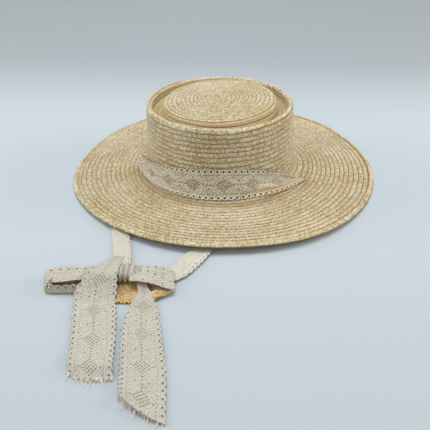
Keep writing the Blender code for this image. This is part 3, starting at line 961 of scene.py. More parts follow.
    def cut_slot(self, brim: bpy.types.Object, side: float, place: HatPlace) -> None:
        """Cut the slot for the lace through the brim on one side.

        Args:
            brim: The brim's shell.
            side: -1 for the left slot and 1 for the right one.
            place: Where the hat stands.
        """
        middle = self.slot_place(side)
        bpy.ops.object.select_all(action="DESELECT")
        bpy.ops.mesh.primitive_cube_add(
            size=1.0,
            location=place.hat(middle),
            rotation=(0.0, 0.0, math.atan2(middle.y, middle.x)),
            scale=(self.slot_length, self.slot_width, 8.0 * self.brim_thickness),
        )
        cutter = bpy.context.object
        bpy.ops.object.transform_apply(location=True, rotation=True, scale=True)
        apply_modifier(brim, "BOOLEAN", operation="DIFFERENCE", solver="EXACT", object=cutter)
        bpy.data.objects.remove(cutter, do_unlink=True)

    def edge_braid(self, place: HatPlace) -> bpy.types.Object:
        """Build the last round of braid, which is laid over the brim's edge.

        Args:
            place: Where the hat stands.

        Returns:
            The closed round.
        """
        inner = self.brim_half_width - self.edge_lap
        plaits = round(math.tau * self.brim_half_width / self.plait)

        def lay(column: int, step: int) -> Vector:
            """Lay the round.

            Args:
                column: Place in the outline.
                step: Step of the turn.

            Returns:
                Point of the frame.
            """
            out, thick, _ = self.EDGE_OUTLINE[column]
            height = thick * self.brim_thickness
            angle = math.tau * step / self.edge_turns
            ripple = 0.0003 * math.sin(angle * plaits / 9.0) + 0.0004 * math.sin(7.0 * angle)
            return place.hat(self.shaped(inner + out + ripple, height, angle % math.tau))

        def chart(column: int, step: int, face_column: int) -> tuple[float, float]:
            """Chart the round: plaits along it, then rows after the last one.

            Args:
                column: Place in the outline.
                step: Step of the turn.
                face_column: First place of the face in the outline.

            Returns:
                The two coordinates.
            """
            start = 1.0 if self.EDGE_OUTLINE[face_column][2] >= 0.95 else 0.0
            share = min(max(self.EDGE_OUTLINE[column][2] - start, 0.0), 0.9999)
            return step / self.edge_turns * plaits, self.edge_row + start + share

        piece = grid_piece("brim_edge", len(self.EDGE_OUTLINE) - 1, self.edge_turns, lay, "braid", chart)
        close_up(piece, 60.0)
        return piece

    def build(self, place: HatPlace, material: bpy.types.Material) -> None:
        """Build crown, brim and edge.

        Args:
            place: Where the hat stands.
            material: The straw.
        """
        crown = self.shell("crown_braid", 0, self.split_row, place)
        brim = self.shell("brim_braid", self.split_row, self.covered_row + 1.0, place)
        for side in (-1.0, 1.0):
            self.cut_slot(brim, side, place)
        edge = self.edge_braid(place)
        dress(crown, material, Slot.STRAW, "crown")
        dress(brim, material, Slot.STRAW, "brim")
        dress(edge, material, Slot.STRAW)


@dataclass
class Ribbon:
    """Lace cut from one length, and what its pieces have in common."""

    place: HatPlace
    hat: StrawHat
    lace: bpy.types.Material
    width: float = 0.0370
    thickness: float = 0.0008
    clearance: float = 0.0003
    fold_gap: float = 0.0011
    pattern_start: float = 0.0

    def strip(
        self, name: str, steps: int, columns: int, lay: Lay,
        shown: Callable[[float], float] = lambda share: 1.0,
    ) -> tuple[bpy.types.Object, float]:
        """Build one length of lace.

        Args:
            name: Name of the piece.
            steps: Faces along it.
            columns: Faces across it.
            lay: Point of the frame for shares along and across.
            shown: Share of the lace's width that shows at a share along.

        Returns:
            The piece and its length.
        """
        middles = [lay(step / steps, 0.5) for step in range(steps + 1)]
        gone = [0.0]
        for here, there in zip(middles, middles[1:]):
            gone.append(gone[-1] + (there - here).length)

        def chart(column: int, step: int, face_column: int) -> tuple[float, float]:
            """Metres along the lace, then across it from its middle."""
            across = (column / columns - 0.5) * shown(step / steps) * self.width
            return self.pattern_start + gone[step], across

        piece = grid_piece(name, columns, steps, lambda c, s: lay(s / steps, c / columns), "lace", chart)
        apply_modifier(piece, "SOLIDIFY", thickness=self.thickness, offset=0.0, use_even_offset=False)
        close_up(piece, 60.0)
        return piece, gone[-1]

    def finish(
        self, piece: bpy.types.Object, length: float, held: Held,
        rests_on: Sequence[str] = (), with_pieces: Sequence[bpy.types.Object] = (),
    ) -> None:
        """Args:
            piece: The lace, named for the CAD node that it stands for.
            length: Its length when flat.
            held: Not used.
            rests_on: Not used.
            with_pieces: Not used.
        """
        dress(piece, self.lace, Slot.LACE, piece.name.removesuffix("_cloth"))
        LOG.info("%s: lace %.0f mm long", piece.name, length / MILLIMETRE)

    def line(
        self, piece: bpy.types.Object, shade_lining: bpy.types.Material,
        is_inner: Callable[[bpy.types.MeshPolygon], bool],
    ) -> None:
        """Paint the inner side of a piece with a copy of the lace whose colour is painted shade and warm
        bounce light.

        Args:
            piece: The lace.
            shade_lining: The painted shade and bounce copy of the lace for its inner side.
            is_inner: Whether a face is on that side.
        """
        piece.data.materials.append(shade_lining)
        for face in piece.data.polygons:
            face.material_index = int(is_inner(face))


@dataclass
class LaceBand(Ribbon):
    """The lace across the front of the crown, from the left slot to the right one."""

    thickness: float = 0.0006
    inside: bpy.types.Material | None = None
    pattern_start: float = 0.007
    crease: float = 0.0013
    crease_waves: float = 21.0
    slack: float = 0.0004

    # Columns: share of the way, lower edge and upper edge as shares of the lace width,
    # measured up the surface from the foot of the fillet, and depth of the folds.
    SECTIONS = (
        (0.00, -0.12, 0.02, 0.06),
        (0.02, -0.12, 0.25, 0.12),
        (0.05, -0.12, 0.48, 0.15),
        (0.09, -0.10, 0.58, 0.12),
        (0.14, -0.07, 0.65, 0.07),
        (0.21, -0.01, 0.73, 0.03),
        (0.31, 0.07, 0.89, 0.01),
        (0.41, 0.11, 1.01, 0.00),
        (0.50, 0.12, 1.07, 0.00),
        (0.60, 0.13, 1.10, 0.00),
        (0.69, 0.13, 1.08, 0.01),
        (0.78, 0.10, 0.96, 0.06),
        (0.86, 0.02, 0.79, 0.13),
        (0.93, -0.06, 0.56, 0.16),
        (0.975, -0.12, 0.34, 0.12),
        (1.00, -0.17, 0.10, 0.03),
    )
    # Fold from the lower to the upper edge. Columns: share across, share of the fold's depth.
    FOLD = ((0.0, 0.00), (0.15, 0.45), (0.31, 1.00), (0.38, 0.90), (0.50, 0.15), (0.70, 0.05), (1.0, 0.45))
    # The same at the left end, where the lace stands away from the crown.
    LEFT_FOLD = ((0.0, 0.10), (0.25, 0.75), (0.5, 1.00), (0.75, 1.10), (1.0, 1.05))

    def surface(self, climb: float, angle: float) -> tuple[Vector, Vector]:
        """Point just off the straw and its outward direction.

        Args:
            climb: Way up the surface from the foot of the fillet.
            angle: Direction in radians, before the hat is made oval.

        Returns:
            The point and the direction, in the hat's own frame.
        """
        hat = self.hat
        centre, base = hat.foot()
        bend = hat.fillet - (hat.lap + self.clearance + 0.5 * self.thickness)
        length = 0.5 * math.pi * bend
        lean = (hat.base_half_width - hat.rim_half_width) / (hat.rim_height - base)
        turn = min(max(climb / bend, 0.0), 0.5 * math.pi)
        radius, height = centre - bend * math.sin(turn), base - bend * math.cos(turn)
        if climb < 0.0:
            radius -= climb
            height += hat.brim_rise * climb / (hat.brim_half_width - centre)
        elif climb > length:
            radius -= lean * (climb - length)
            height = base + climb - length
        x, y = math.cos(angle), math.sin(angle)
        point = Vector((radius * x, radius * hat.oval(radius, height) * y, height))
        outward = Vector((x, y / hat.crown_oval, 0.0)).normalized() * math.sin(turn)
        outward.z = math.cos(turn)
        return point + hat.aside(radius, height), outward

    def build(self) -> None:
        """Build the band."""
        slot = self.hat.slot_place(1.0)
        shy = (self.hat.wall + self.clearance) / self.hat.slot_radius
        right = math.atan2(slot.y / self.hat.crown_oval, slot.x) - shy
        left = -math.pi - right

        def lay(share: float, across: float) -> Vector:
            """Lay the band.

            Args:
                share: Share of the way along.
                across: Share of the way across.

            Returns:
                Point of the frame.
            """
            low, high, depth = read_table(self.SECTIONS, share)
            fold = read_table(self.FOLD if share > 0.5 else self.LEFT_FOLD, across)[0]
            climb = self.width * (low + (high - low) * across)
            point, outward = self.surface(climb, left + (right - left) * share)
            gather = smooth_share(0.80, 1.0, share) + 1.0 - smooth_share(0.0, 0.16, share)
            crease = self.crease * gather * math.sin(across * self.crease_waves + 3.0 * share)
            slack = self.slack * (1.0 + noise.noise(point * 60.0))
            out = self.width * max(0.0, depth) * fold + max(0.0, crease) + slack
            return self.place.hat(point + outward * out)

        piece, length = self.strip("lace_band_cloth", 150, 36, lay)
        self.finish(piece, length, Held.GATHERED, ["crown_braid", "brim_braid"])
        # Faces towards the crown get the painted shade and bounce copy of the lace.
        self.line(piece, self.inside, lambda face: face.normal.dot(face.center - self.place.axis) < 0.0)


@dataclass
class BowPart(Ribbon):
    """Lace that lies on the table in the bow's own frame."""

    name: str = ""
    sections: Table = ()
    knot_length: float = 0.0220
    knot_depth: float = 0.0200
    knot_height: float = 0.0120
    softness: float = 0.0012

    def knot(self) -> Vector:
        """Find the middle of the knot on the table.

        Returns:
            The point in the bow's frame.
        """
        low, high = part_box("bow_knot")
        middle = self.place.to_bow((Vector(low) + Vector(high)) * 0.5)
        middle.z = 0.0
        return middle

    def crumple(self, point: Vector) -> float:
        """Small rise of soft cloth at a point."""
        swell = self.softness * (1.0 + noise.noise(point * 70.0)) * 0.5
        return swell + self.softness * 0.35 * noise.noise(point * 190.0)


@dataclass
class Tie(BowPart):
    """Lace folded along its middle, from a slot under the brim to the knot."""

    side: float = -1.0
    shown_width: float = 0.0180
    slot_share: float = 0.006
    layer_step: float = 0.0012
    fold_share: float = 0.06
    softness: float = 0.0009
    pattern_start: float = 0.013

    def build(self) -> None:
        """Build the tie."""
        knot = self.knot()
        start = self.place.to_bow(self.place.hat(self.hat.slot_place(self.side)))
        floor, mouth = self.fold_gap, start.z + self.hat.lap + self.fold_gap
        start.z = 0.0
        if self.side < 0.0:
            end = knot + Vector((-0.27 * self.knot_length, 0.5 * self.knot_depth + self.clearance, 0.0))
        else:
            end = knot + Vector((0.5 * self.knot_length + self.clearance, 0.36 * self.knot_depth, 0.0))
        way = end - start
        left = Vector((-way.y, way.x, 0.0)).normalized()
        radial = Vector((start.x, start.y, 0.0)).normalized()

        def centre(share: float) -> Vector:
            """Follow the tie's middle line.

            Args:
                share: Share of the way along.

            Returns:
                Point of the bow's frame.
            """
            gone, aside, height, _ = along_rows(self.sections, share)
            point = start + way * gone + left * self.width * aside
            point.z = floor + (mouth - floor) * max(0.0, height)
            return point

        def lay(share: float, across: float) -> Vector:
            """Lay the tie, whose two layers meet in a fold.

            Args:
                share: Share of the way along.
                across: Share of the way across.

            Returns:
                Point of the frame.
            """
            gone, _, _, width = along_rows(self.sections, share)
            ahead = centre(min(1.0, share + 0.01)) - centre(max(0.0, share - 0.01))
            sideways = Vector((-ahead.y, ahead.x, 0.0)).normalized()
            if gone < self.slot_share:
                sideways = radial * math.copysign(1.0, radial.dot(left))
            over = sideways.cross(ahead).normalized()
            if over.z < 0.0:
                over.negate()
            layer = 1.0 if across > 0.5 else -1.0
            from_fold = abs(across - 0.5) * 2.0
            turn = 0.5 * math.pi * min(1.0, from_fold / self.fold_share)
            lift = layer * 0.5 * self.fold_gap * math.sin(turn)
            slide = (from_fold - 0.5) * width * self.shown_width
            if layer < 0.0:
                slide -= self.layer_step * from_fold
            point = centre(share) + sideways * slide + over * lift
            if layer > 0.0 and share > 0.1:
                point.z += self.crumple(point) * from_fold
            return self.place.bow(point)

        piece, length = self.strip(self.name + "_cloth", 130, 30, lay)
        self.finish(piece, length, Held.FOLDED, ["brim_braid"])


@dataclass
class Loop(BowPart):
    """One loop of the bow, out from the knot, round its end and back under it."""

    side: float = -1.0
    length: float = 0.0575
    height: float = 0.0095
    inside: bpy.types.Material | None = None
    inner_from: float = 0.3
    over: float = 0.25
    under: float = 0.35
    fold_round: float = 0.0015
    end_facing: float = 0.6
    softness: float = 0.0011
    pattern_start: float = 0.004

    def build(self) -> None:
        """Build the loop, with the front of the lace folded into it."""
        knot = self.knot()
        start = knot.x + self.side * (0.5 * self.knot_length + self.clearance)
        table = 0.5 * self.thickness
        knots_share = self.knot_length / self.length
        rows = [
            (-self.over * knots_share, *self.sections[0][1:]),
            *self.sections,
            (-self.under * knots_share, *self.sections[-1][1:]),
        ]
        near = 0.6 / (len(rows) - 1)
        way_out = self.place.bow(Vector((self.side, 0.0, 0.0))) - self.place.axis

        def lay(share: float, across: float) -> Vector:
            """Lay the loop.

            Args:
                share: Share of the way along.
                across: Share of the way across.

            Returns:
                Point of the frame.
            """
            gone, aside, height, width, tip, fold_deg, askew = along_rows(rows, share)
            front, fold_at = -0.5 * width * self.width, (1.0 - width) * self.width
            place = across * self.width
            beyond = max(0.0, fold_at - place)
            fold = math.radians(fold_deg)
            ahead, behind = along_rows(rows, min(1.0, share + near)), along_rows(rows, max(0.0, share - near))
            turn, run = ahead[2] - behind[2], (ahead[0] - behind[0]) * self.length / self.height
            inward = Vector((self.side * turn, 0.0, -run)).normalized()
            off = front + max(0.0, place - fold_at) - beyond * math.cos(fold)
            level = table + (self.height - table) * max(0.0, height)
            point = Vector((start + self.side * gone * self.length, knot.y - aside * self.width + off, level))
            gap = self.fold_gap * min(1.0, beyond / self.fold_round)
            point += inward * (beyond * math.sin(fold) + gap)
            point.x += self.side * askew * off
            point.z = max(table, point.z + off * tip)
            point.z += self.crumple(point)
            return self.place.bow(point)

        def is_inner(face: bpy.types.MeshPolygon) -> bool:
            """Whether a face looks into the loop."""
            inward = face.normal.z if face.center.z < 0.5 * self.height else -face.normal.z
            return inward > self.inner_from and face.normal.dot(way_out) < self.end_facing

        piece, length = self.strip(self.name + "_cloth", 110, 40, lay)
        self.finish(piece, length, Held.GATHERED)
        # Faces that look into the loop get the painted shade and bounce copy of the lace.
        self.line(piece, self.inside, is_inner)


@dataclass
class Tail(BowPart):
    """One free end, from the knot over the table to its frayed cut."""

    start: Vector = field(default_factory=Vector)
    reach: float = 0.1285
    slant: float = 0.13
    start_height: float = 0.0140
    waves: Table = ()
    thread: bpy.types.Material | None = None
    threads: int = 150
    thread_radius: float = 0.00024
    thread_least: float = 0.0016
    thread_spread: float = 0.0070
    long_thread: float = 0.0060
    long_every: int = 19
    thread_spray: float = 2.6
    thread_level: float = 0.0004
    thread_rise: float = 0.0012
    root_share: float = 0.985
    cut_bow: float = 0.10
    table_gap: float = 0.0001

    def point(self, share: float, across: float) -> Vector:
        """Follow the tail over the table.

        Args:
            share: Share of the way along.
            across: Share of the way across.

        Returns:
            Point of the bow's frame.
        """
        gone, aside, height, width = along_rows(self.sections, share)
        table = 0.5 * self.thickness + self.table_gap
        off = across - 0.5
        bow = self.cut_bow * self.width * gone**8 * (1.0 - (2.0 * off) ** 2)
        knot = self.knot()
        point = Vector((
            knot.x + self.start.x + aside * self.width + off * width * self.width,
            knot.y + self.start.y - gone * self.reach - self.slant * off * gone**4 * self.width - bow,
            table + (self.start_height - table) * max(0.0, height),
        ))
        wave, tilt = read_table(self.waves, gone)
        point.z += max(0.0, wave + tilt * off)
        point.z += self.crumple(point)
        return point

    def build(self) -> None:
        """Build the tail and its frayed end."""
        piece, length = self.strip(
            self.name + "_cloth", 130, 34,
            lambda share, across: self.place.bow(self.point(share, across)),
            shown=lambda share: min(1.0, along_rows(self.sections, share)[3] + 0.25),
        )
        self.finish(piece, length, Held.LAID, with_pieces=[self.fray()])

    def fray(self) -> bpy.types.Object:
        """Build the loose threads along the cut.

        Returns:
            The threads as one piece.
        """
        curve = bpy.data.curves.new(self.name + "_fray", "CURVE")
        curve.dimensions = "3D"
        curve.bevel_depth = self.thread_radius
        curve.bevel_resolution = 1
        curve.use_fill_caps = True
        curve.resolution_u = 3
        for number in range(self.threads):
            rolls = [noise.noise(Vector((number * 1.37, k * 5.1, self.reach * 90.0))) for k in range(5)]
            dice = [0.5 + 0.5 * roll for roll in rolls]
            root = self.point(self.root_share + 0.01 * dice[0], (number + 0.5) / self.threads)
            out = Vector((self.thread_spray * (dice[1] - 0.5), -1.0, 0.0)).normalized()
            long = self.thread_least + self.thread_spread * dice[2] ** 3
            if number % self.long_every == 7:
                long += self.long_thread
            spline = curve.splines.new("BEZIER")
            spline.bezier_points.add(2)
            for share, bezier in zip((0.0, 0.5, 1.0), spline.bezier_points):
                bulge = math.sin(math.pi * share)
                swing = Vector((out.y, -out.x, 0.0)) * long * 0.5 * (dice[3] - 0.5) * bulge
                spot = root + out * long * share + swing
                rise = self.thread_rise * dice[4] * bulge
                spot.z = max(self.thread_level, root.z * (1.0 - share) + rise)
                bezier.co = self.place.bow(spot)
                bezier.handle_left_type = bezier.handle_right_type = "AUTO"
        piece = bpy.data.objects.new(self.name + "_fray", curve)
        bpy.context.scene.collection.objects.link(piece)
        only(piece)
        bpy.ops.object.convert(target="MESH")
        bpy.ops.object.shade_smooth()
        return dress(bpy.context.object, self.thread, Slot.LACE)


@dataclass
class Knot(BowPart):
    """The lace drawn round the middle of the bow."""

    squareness: float = 0.75
    pleats: float = 4.5
    pleat_depth: float = 0.0013
    shrink: float = 0.0010
    pinch: float = 0.22
    sway: float = 0.0012

    def build(self) -> None:
        """Build the knot as a gathered wrap."""
        knot = self.knot()
        middle = self.thickness + self.clearance + 0.5 * self.knot_height

        def squared(value: float) -> float:
            """Sine or cosine of a circle made squarer."""
            return math.copysign(abs(value) ** self.squareness, value)

        def lay(share: float, across: float) -> Vector:
            """Lay the wrap.

            Args:
                share: Share of the way along.
                across: Share of the way across.

            Returns:
                Point of the frame.
            """
            angle = math.tau * share
            off = 2.0 * across - 1.0
            drawn = 1.0 - self.pinch * abs(off) ** 3.0
            pleat = self.pleat_depth * math.sin(off * math.pi * self.pleats + 1.2 * math.sin(angle))
            return self.place.bow(Vector((
                knot.x + 0.5 * self.knot_length * off + self.sway * math.sin(angle),
                knot.y + (0.5 * self.knot_depth - self.shrink + pleat) * drawn * squared(math.cos(angle)),
                middle + (0.5 * self.knot_height - self.shrink + pleat) * drawn * squared(math.sin(angle)),
            )))

        piece, _ = self.strip(self.name + "_cloth", 72, 48, lay)
        self.finish(piece, math.pi * 0.5 * (self.knot_depth + self.knot_height), Held.GATHERED)


# Columns: share of the way to the knot, share of the lace width to the left of it, height as a
# share of the slot's height, width as a share of the tie's shown width.
TIE_LEFT = (
    (0.000, 0.000, 1.00, 0.50),
    (0.002, 0.000, 0.24, 0.50),
    (0.022, 0.000, 0.03, 0.56),
    (0.060, -0.010, 0.00, 0.72),
    (0.130, -0.030, 0.00, 0.90),
    (0.300, -0.090, 0.00, 1.00),
    (0.500, -0.160, 0.00, 1.00),
    (0.700, -0.208, 0.00, 0.97),
    (0.780, -0.135, 0.00, 0.97),
    (0.880, -0.040, 0.00, 0.97),
    (0.945, 0.000, 0.08, 0.95),
    (1.000, 0.000, 0.33, 0.88),
)
TIE_RIGHT = (
    (0.000, 0.000, 1.00, 0.50),
    (0.002, 0.000, 0.24, 0.50),
    (0.022, 0.005, 0.03, 0.56),
    (0.060, 0.030, 0.00, 0.72),
    (0.130, 0.090, 0.00, 0.90),
    (0.300, 0.220, 0.00, 0.95),
    (0.500, 0.320, 0.00, 0.92),
    (0.680, 0.386, 0.00, 0.92),
    (0.805, 0.517, 0.00, 1.26),
    (0.885, 0.640, 0.00, 1.18),
    (0.932, 0.660, 0.00, 1.00),
    (0.966, 0.460, 0.00, 0.66),
    (1.000, 0.000, 0.00, 0.50),
)
# Columns: share of the length, share of the lace width towards the camera, share of the
# height, shown share of the lace width, slope of the cloth away from the camera, turn of
# the folded part in degrees, skew of the end.
LOOP_LEFT = (
    (0.00, 0.10, 1.00, 0.44, 0.10, 180.0, 0.00),
    (0.20, 0.12, 1.04, 0.46, 0.10, 180.0, 0.00),
    (0.47, 0.16, 1.02, 0.46, 0.12, 180.0, 0.05),
    (0.75, 0.20, 0.98, 0.46, 0.15, 180.0, 0.18),
    (0.93, 0.24, 0.92, 0.46, 0.12, 178.0, 0.30),
    (1.00, 0.28, 0.50, 0.50, 0.00, 165.0, 0.30),
    (0.97, 0.26, 0.04, 0.68, 0.00, 125.0, 0.15),
    (0.80, 0.20, 0.00, 0.80, 0.00, 105.0, 0.00),
    (0.50, 0.19, 0.00, 0.80, 0.00, 105.0, 0.00),
    (0.15, 0.25, 0.00, 0.84, 0.00, 115.0, 0.00),
    (0.00, 0.30, 0.00, 0.91, 0.00, 135.0, 0.00),
)
LOOP_RIGHT = (
    (0.00, 0.19, 1.06, 0.42, 0.10, 180.0, 0.00),
    (0.30, 0.25, 1.16, 0.42, 0.20, 180.0, 0.00),
    (0.60, 0.34, 0.98, 0.36, 0.20, 180.0, 0.00),
    (0.85, 0.40, 0.72, 0.32, 0.10, 180.0, 0.00),
    (1.00, 0.43, 0.46, 0.26, 0.00, 180.0, 0.00),
    (0.88, 0.46, 0.26, 0.34, 0.00, 180.0, 0.00),
    (0.62, 0.50, 0.18, 0.58, 0.00, 175.0, 0.00),
    (0.30, 0.50, 0.00, 0.82, 0.00, 170.0, 0.00),
    (0.00, 0.47, 0.00, 0.91, 0.00, 170.0, 0.00),
)
# Columns: share of the reach, share of the lace width to the right of the start, height as a
# share of the start's height, width as a share of the lace width.
TAIL_LEFT = (
    (0.000, 0.00, 1.00, 0.28),
    (0.052, -0.12, 1.00, 0.42),
    (0.127, -0.24, 1.00, 0.61),
    (0.194, -0.31, 0.94, 0.76),
    (0.246, -0.35, 0.65, 0.87),
    (0.291, -0.40, 0.38, 0.98),
    (0.373, -0.395, 0.05, 1.00),
    (0.490, -0.32, 0.00, 1.00),
    (0.700, -0.21, 0.00, 0.99),
    (0.910, -0.11, 0.00, 0.95),
    (1.000, -0.06, 0.00, 0.93),
)
TAIL_RIGHT = (
    (0.000, 0.00, 1.00, 0.20),
    (0.058, 0.05, 0.70, 0.24),
    (0.109, 0.12, 0.50, 0.30),
    (0.153, 0.12, 0.40, 0.42),
    (0.204, 0.14, 0.28, 0.56),
    (0.255, 0.155, 0.07, 0.69),
    (0.342, 0.155, 0.00, 0.84),
    (0.570, 0.27, 0.00, 0.93),
    (0.770, 0.38, 0.00, 0.98),
    (1.000, 0.47, 0.00, 0.96),
)
# Columns: share of the reach, rise off the table, further rise from left to right.
WAVES_LEFT = (
    (0.00, 0.0, 0.0),
    (0.38, 0.0, 0.0),
    (0.50, 0.0008, -0.0010),
    (0.62, 0.0, 0.0020),
    (0.80, 0.0006, 0.0),
    (0.93, 0.0030, 0.0010),
    (1.00, 0.0006, 0.0),
)
WAVES_RIGHT = (
    (0.00, 0.0, 0.0),
    (0.35, 0.0, 0.0),
    (0.52, 0.0008, 0.0),
    (0.70, 0.0, 0.0),
    (0.88, 0.0012, -0.0020),
    (1.00, 0.0022, -0.0050),
)


@dataclass
class Bow:
    """Ties, knot, loops and tails."""

    place: HatPlace
    hat: StrawHat
    lace: bpy.types.Material
    thread: bpy.types.Material
    tie_lace: bpy.types.Material
    inside: bpy.types.Material

    def build(self) -> None:
        """Build every piece of the bow."""
        tie = (self.place, self.hat, self.tie_lace)
        shared = (self.place, self.hat, self.lace)
        Tie(*tie, name="tie_left", side=-1.0, sections=TIE_LEFT).build()
        Tie(*tie, name="tie_right", side=1.0, sections=TIE_RIGHT).build()
        knot = Knot(*shared, name="bow_knot")
        knot.build()
        Loop(*shared, name="bow_loop_left", inside=self.inside, sections=LOOP_LEFT).build()
        Loop(
            *shared, name="bow_loop_right", inside=self.inside, sections=LOOP_RIGHT,
            side=1.0, length=0.0335, inner_from=-0.35, under=0.8,
        ).build()
        over = 1.5 * knot.thickness + 2.0 * knot.clearance + knot.knot_height
        left = Vector((-0.30 * knot.knot_length, 0.70 * knot.knot_depth, 0.0))
        beside = 0.5 * knot.knot_length + 2.0 * knot.clearance + 0.5 * TAIL_RIGHT[0][3] * knot.width
        right = Vector((beside, -0.40 * knot.knot_depth, 0.0))
        Tail(
            *shared, name="bow_tail_left", start=left, reach=0.1285, slant=0.13, start_height=over + 0.0004,
            sections=TAIL_LEFT, waves=WAVES_LEFT, thread=self.thread, threads=140,
        ).build()
        Tail(
            *shared, name="bow_tail_right", start=right, reach=0.1375, slant=0.60, start_height=0.0065,
            sections=TAIL_RIGHT, waves=WAVES_RIGHT, thread=self.thread, threads=150,
        ).build()


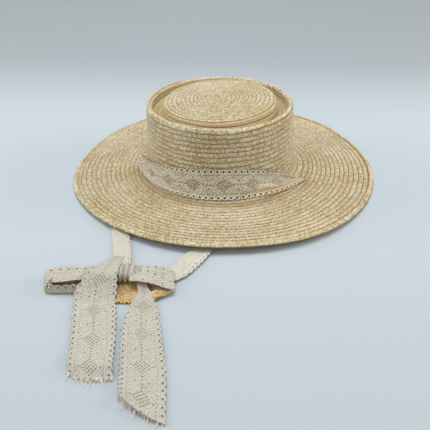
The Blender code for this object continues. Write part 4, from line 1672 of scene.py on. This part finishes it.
@dataclass
class Studio:
    """Pale table, soft light and the camera, set out in the bow's frame."""

    place: HatPlace
    camera_at: tuple[float, float, float] = (-0.001, -0.639, 0.3205)
    pitch_deg: float = 31.5
    yaw_deg: float = -0.94
    roll_deg: float = 0.23
    lens_mm: float = 48.56
    sensor_mm: float = 36.0
    sweep_at: float = 0.45
    sweep_radius: float = 1.00
    sweep_steps: int = 16
    sweep_top: float = 3.0
    sweep_half_width: float = 8.0
    table_drop: float = 0.0002
    table: Row = (0.455, 0.512, 0.556, 1.0)
    # Darker tone further back, painted shade of the sweep turning away from the light, and the range over
    # which it comes in.
    far_shade_tone: Row = (0.357, 0.394, 0.422, 1.0)
    shade_fade: tuple[float, float] = (0.13, 0.46)
    sky: Row = (1.0, 0.97, 0.93, 1.0)
    sky_strength: float = 0.46

    # Columns: name, place in the bow's frame, length of the side, watts, colour.
    LIGHTS = (
        ("overhead", (-0.06, 0.10, 1.05), 0.8, 9.0, (0.95, 0.985, 1.0)),
        ("window", (1.2, 0.10, 0.45), 0.6, 8.5, (1.0, 0.98, 0.95)),
        ("far_window", (-1.2, 0.15, 0.45), 0.6, 6.5, (1.0, 0.98, 0.95)),
        ("front", (-0.8, -2.2, 1.6), 1.5, 11.0, (1.0, 0.95, 0.87)),
    )

    def camera(self) -> None:
        """Set the camera at the photo's viewing angle."""
        pitch, yaw, roll = (math.radians(v) for v in (self.pitch_deg, self.yaw_deg, self.roll_deg))
        ahead = Vector((math.sin(yaw) * math.cos(pitch), math.cos(yaw) * math.cos(pitch), -math.sin(pitch)))
        right = ahead.cross(Vector((0.0, 0.0, 1.0))).normalized()
        up = right.cross(ahead)
        turned_right = right * math.cos(roll) + up * math.sin(roll)
        turned_up = up * math.cos(roll) - right * math.sin(roll)
        looking = Matrix((turned_right, turned_up, -ahead)).transposed()
        data = bpy.data.cameras.new("camera")
        data.lens = self.lens_mm
        data.sensor_fit = "HORIZONTAL"
        data.sensor_width = self.sensor_mm
        data.clip_start = 0.02
        camera = bpy.data.objects.new("camera", data)
        where = Matrix.Translation(self.place.bow(Vector(self.camera_at)))
        camera.matrix_world = where @ (Matrix.Rotation(self.place.lay_turn, 3, "Z") @ looking).to_4x4()
        bpy.context.scene.collection.objects.link(camera)
        bpy.context.scene.camera = camera

    def floor(self) -> None:
        """Build the table, which sweeps up behind the hat; its colour darkens further back as painted shade.
        """
        turns = [0.5 * math.pi * step / self.sweep_steps for step in range(self.sweep_steps + 1)]
        bends = [(-self.sweep_half_width, 0.0)]
        for turn in turns:
            out = self.sweep_at + self.sweep_radius * math.sin(turn)
            bends.append((out, self.sweep_radius * (1.0 - math.cos(turn))))
        bends.append((self.sweep_at + self.sweep_radius, self.sweep_top))

        def lay(column: int, row: int) -> Vector:
            """Lay the sweep.

            Args:
                column: 0 for its left side and 1 for its right side.
                row: Place among the bends.

            Returns:
                Point of the frame.
            """
            away, height = bends[row]
            aside = (2 * column - 1) * self.sweep_half_width
            return self.place.bow(Vector((aside, away, height - self.table_drop)))

        def chart(column: int, row: int, face_column: int) -> tuple[float, float]:
            """Column, then row."""
            return float(column), float(row)

        sweep = grid_piece("table_sweep", 1, len(bends) - 1, lay, "sweep", chart)
        bpy.ops.object.shade_smooth()
        bench = NodeBench("pale_table")
        x, y, _ = bench.split(bench.object_place())
        lay_turn = self.place.lay_turn
        away = y * math.cos(lay_turn) - x * math.sin(lay_turn) + self.place.to_bow(Vector()).y
        # Painted shade: the table's colour darkens further back.
        tone = bench.blend(bench.step(away, *self.shade_fade), self.table, self.far_shade_tone)
        sweep.data.materials.append(
            bench.surface({"Base Color": tone, "Roughness": 0.75, "Specular IOR Level": 0.2})
        )

    def lights(self) -> None:
        """Set the soft overhead light, a window on each side, a front light and the pale surroundings."""
        for name, at, size, power, colour in self.LIGHTS:
            data = bpy.data.lights.new(name, "AREA")
            data.shape = "SQUARE"
            data.size = size
            data.energy = power
            data.color = colour
            lamp = bpy.data.objects.new(name, data)
            where = self.place.bow(Vector(at))
            facing = (self.place.axis - where).to_track_quat("-Z", "Y")
            lamp.matrix_world = Matrix.Translation(where) @ facing.to_matrix().to_4x4()
            bpy.context.scene.collection.objects.link(lamp)
        world = bpy.data.worlds.new("surroundings")
        world.use_nodes = True
        background = world.node_tree.nodes["Background"]
        background.inputs["Color"].default_value = self.sky
        background.inputs["Strength"].default_value = self.sky_strength
        bpy.context.scene.world = world
        bpy.context.scene.view_settings.view_transform = "Standard"

    def build(self) -> None:
        """Set up the whole studio."""
        self.floor()
        self.lights()
        self.camera()


def main() -> None:
    """Build the hat, its ribbon and the studio."""
    logging.basicConfig(level=logging.INFO, format="%(name)s: %(message)s")
    hat = StrawHat()
    _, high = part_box("crown")
    axis = Vector((high[0] - hat.base_half_width, high[1] - hat.base_half_width * hat.crown_oval, 0.0))
    place = HatPlace(axis, math.radians(hat.lay_turn_deg))
    Studio(place).build()
    lace = LaceFinish().make("lace")
    tie_lace = LaceFinish(
        pale=(0.635, 0.61, 0.535, 1.0),
        grain=0.25,
        eyelet_radius=0.6,
        mesh_show=0.25,
        dash_show=0.3,
        line_show=0.0,
        cord_show=0.0,
    ).make("tie_lace")
    # Golden copy of the lace: painted shade and warm bounce light for faces that look inward.
    golden = LaceFinish(
        pale=(0.72, 0.55, 0.29, 1.0),
        deep=(0.40, 0.23, 0.07, 1.0),
        grain=0.8,
    ).make("lace_painted_bounce")
    band_lace = LaceFinish(
        pale=(0.84, 0.79, 0.67, 1.0),
        deep=(0.30, 0.25, 0.16, 1.0),
        # The band's holes are painted as the shadowed straw behind them.
        behind=(0.13, 0.085, 0.03, 1.0),
        grain=0.9,
        eyelet_radius=1.4,
        hole_half=0.24,
        mesh_pitch=3.7,
        mesh_show=1.0,
        dash_show=0.9,
        line_show=0.8,
        cord_show=0.6,
        # The band's far end gets a painted warm bounce light.
        bounce_tint_from=172.0,
    ).make("lace_on_straw")
    hat.build(place, StrawFinish().make("straw_braid"))
    LaceBand(place, hat, band_lace, inside=golden).build()
    Bow(place, hat, lace, ThreadFinish().make("loose_thread"), tie_lace, golden).build()


if __name__ == "__main__":
    main()
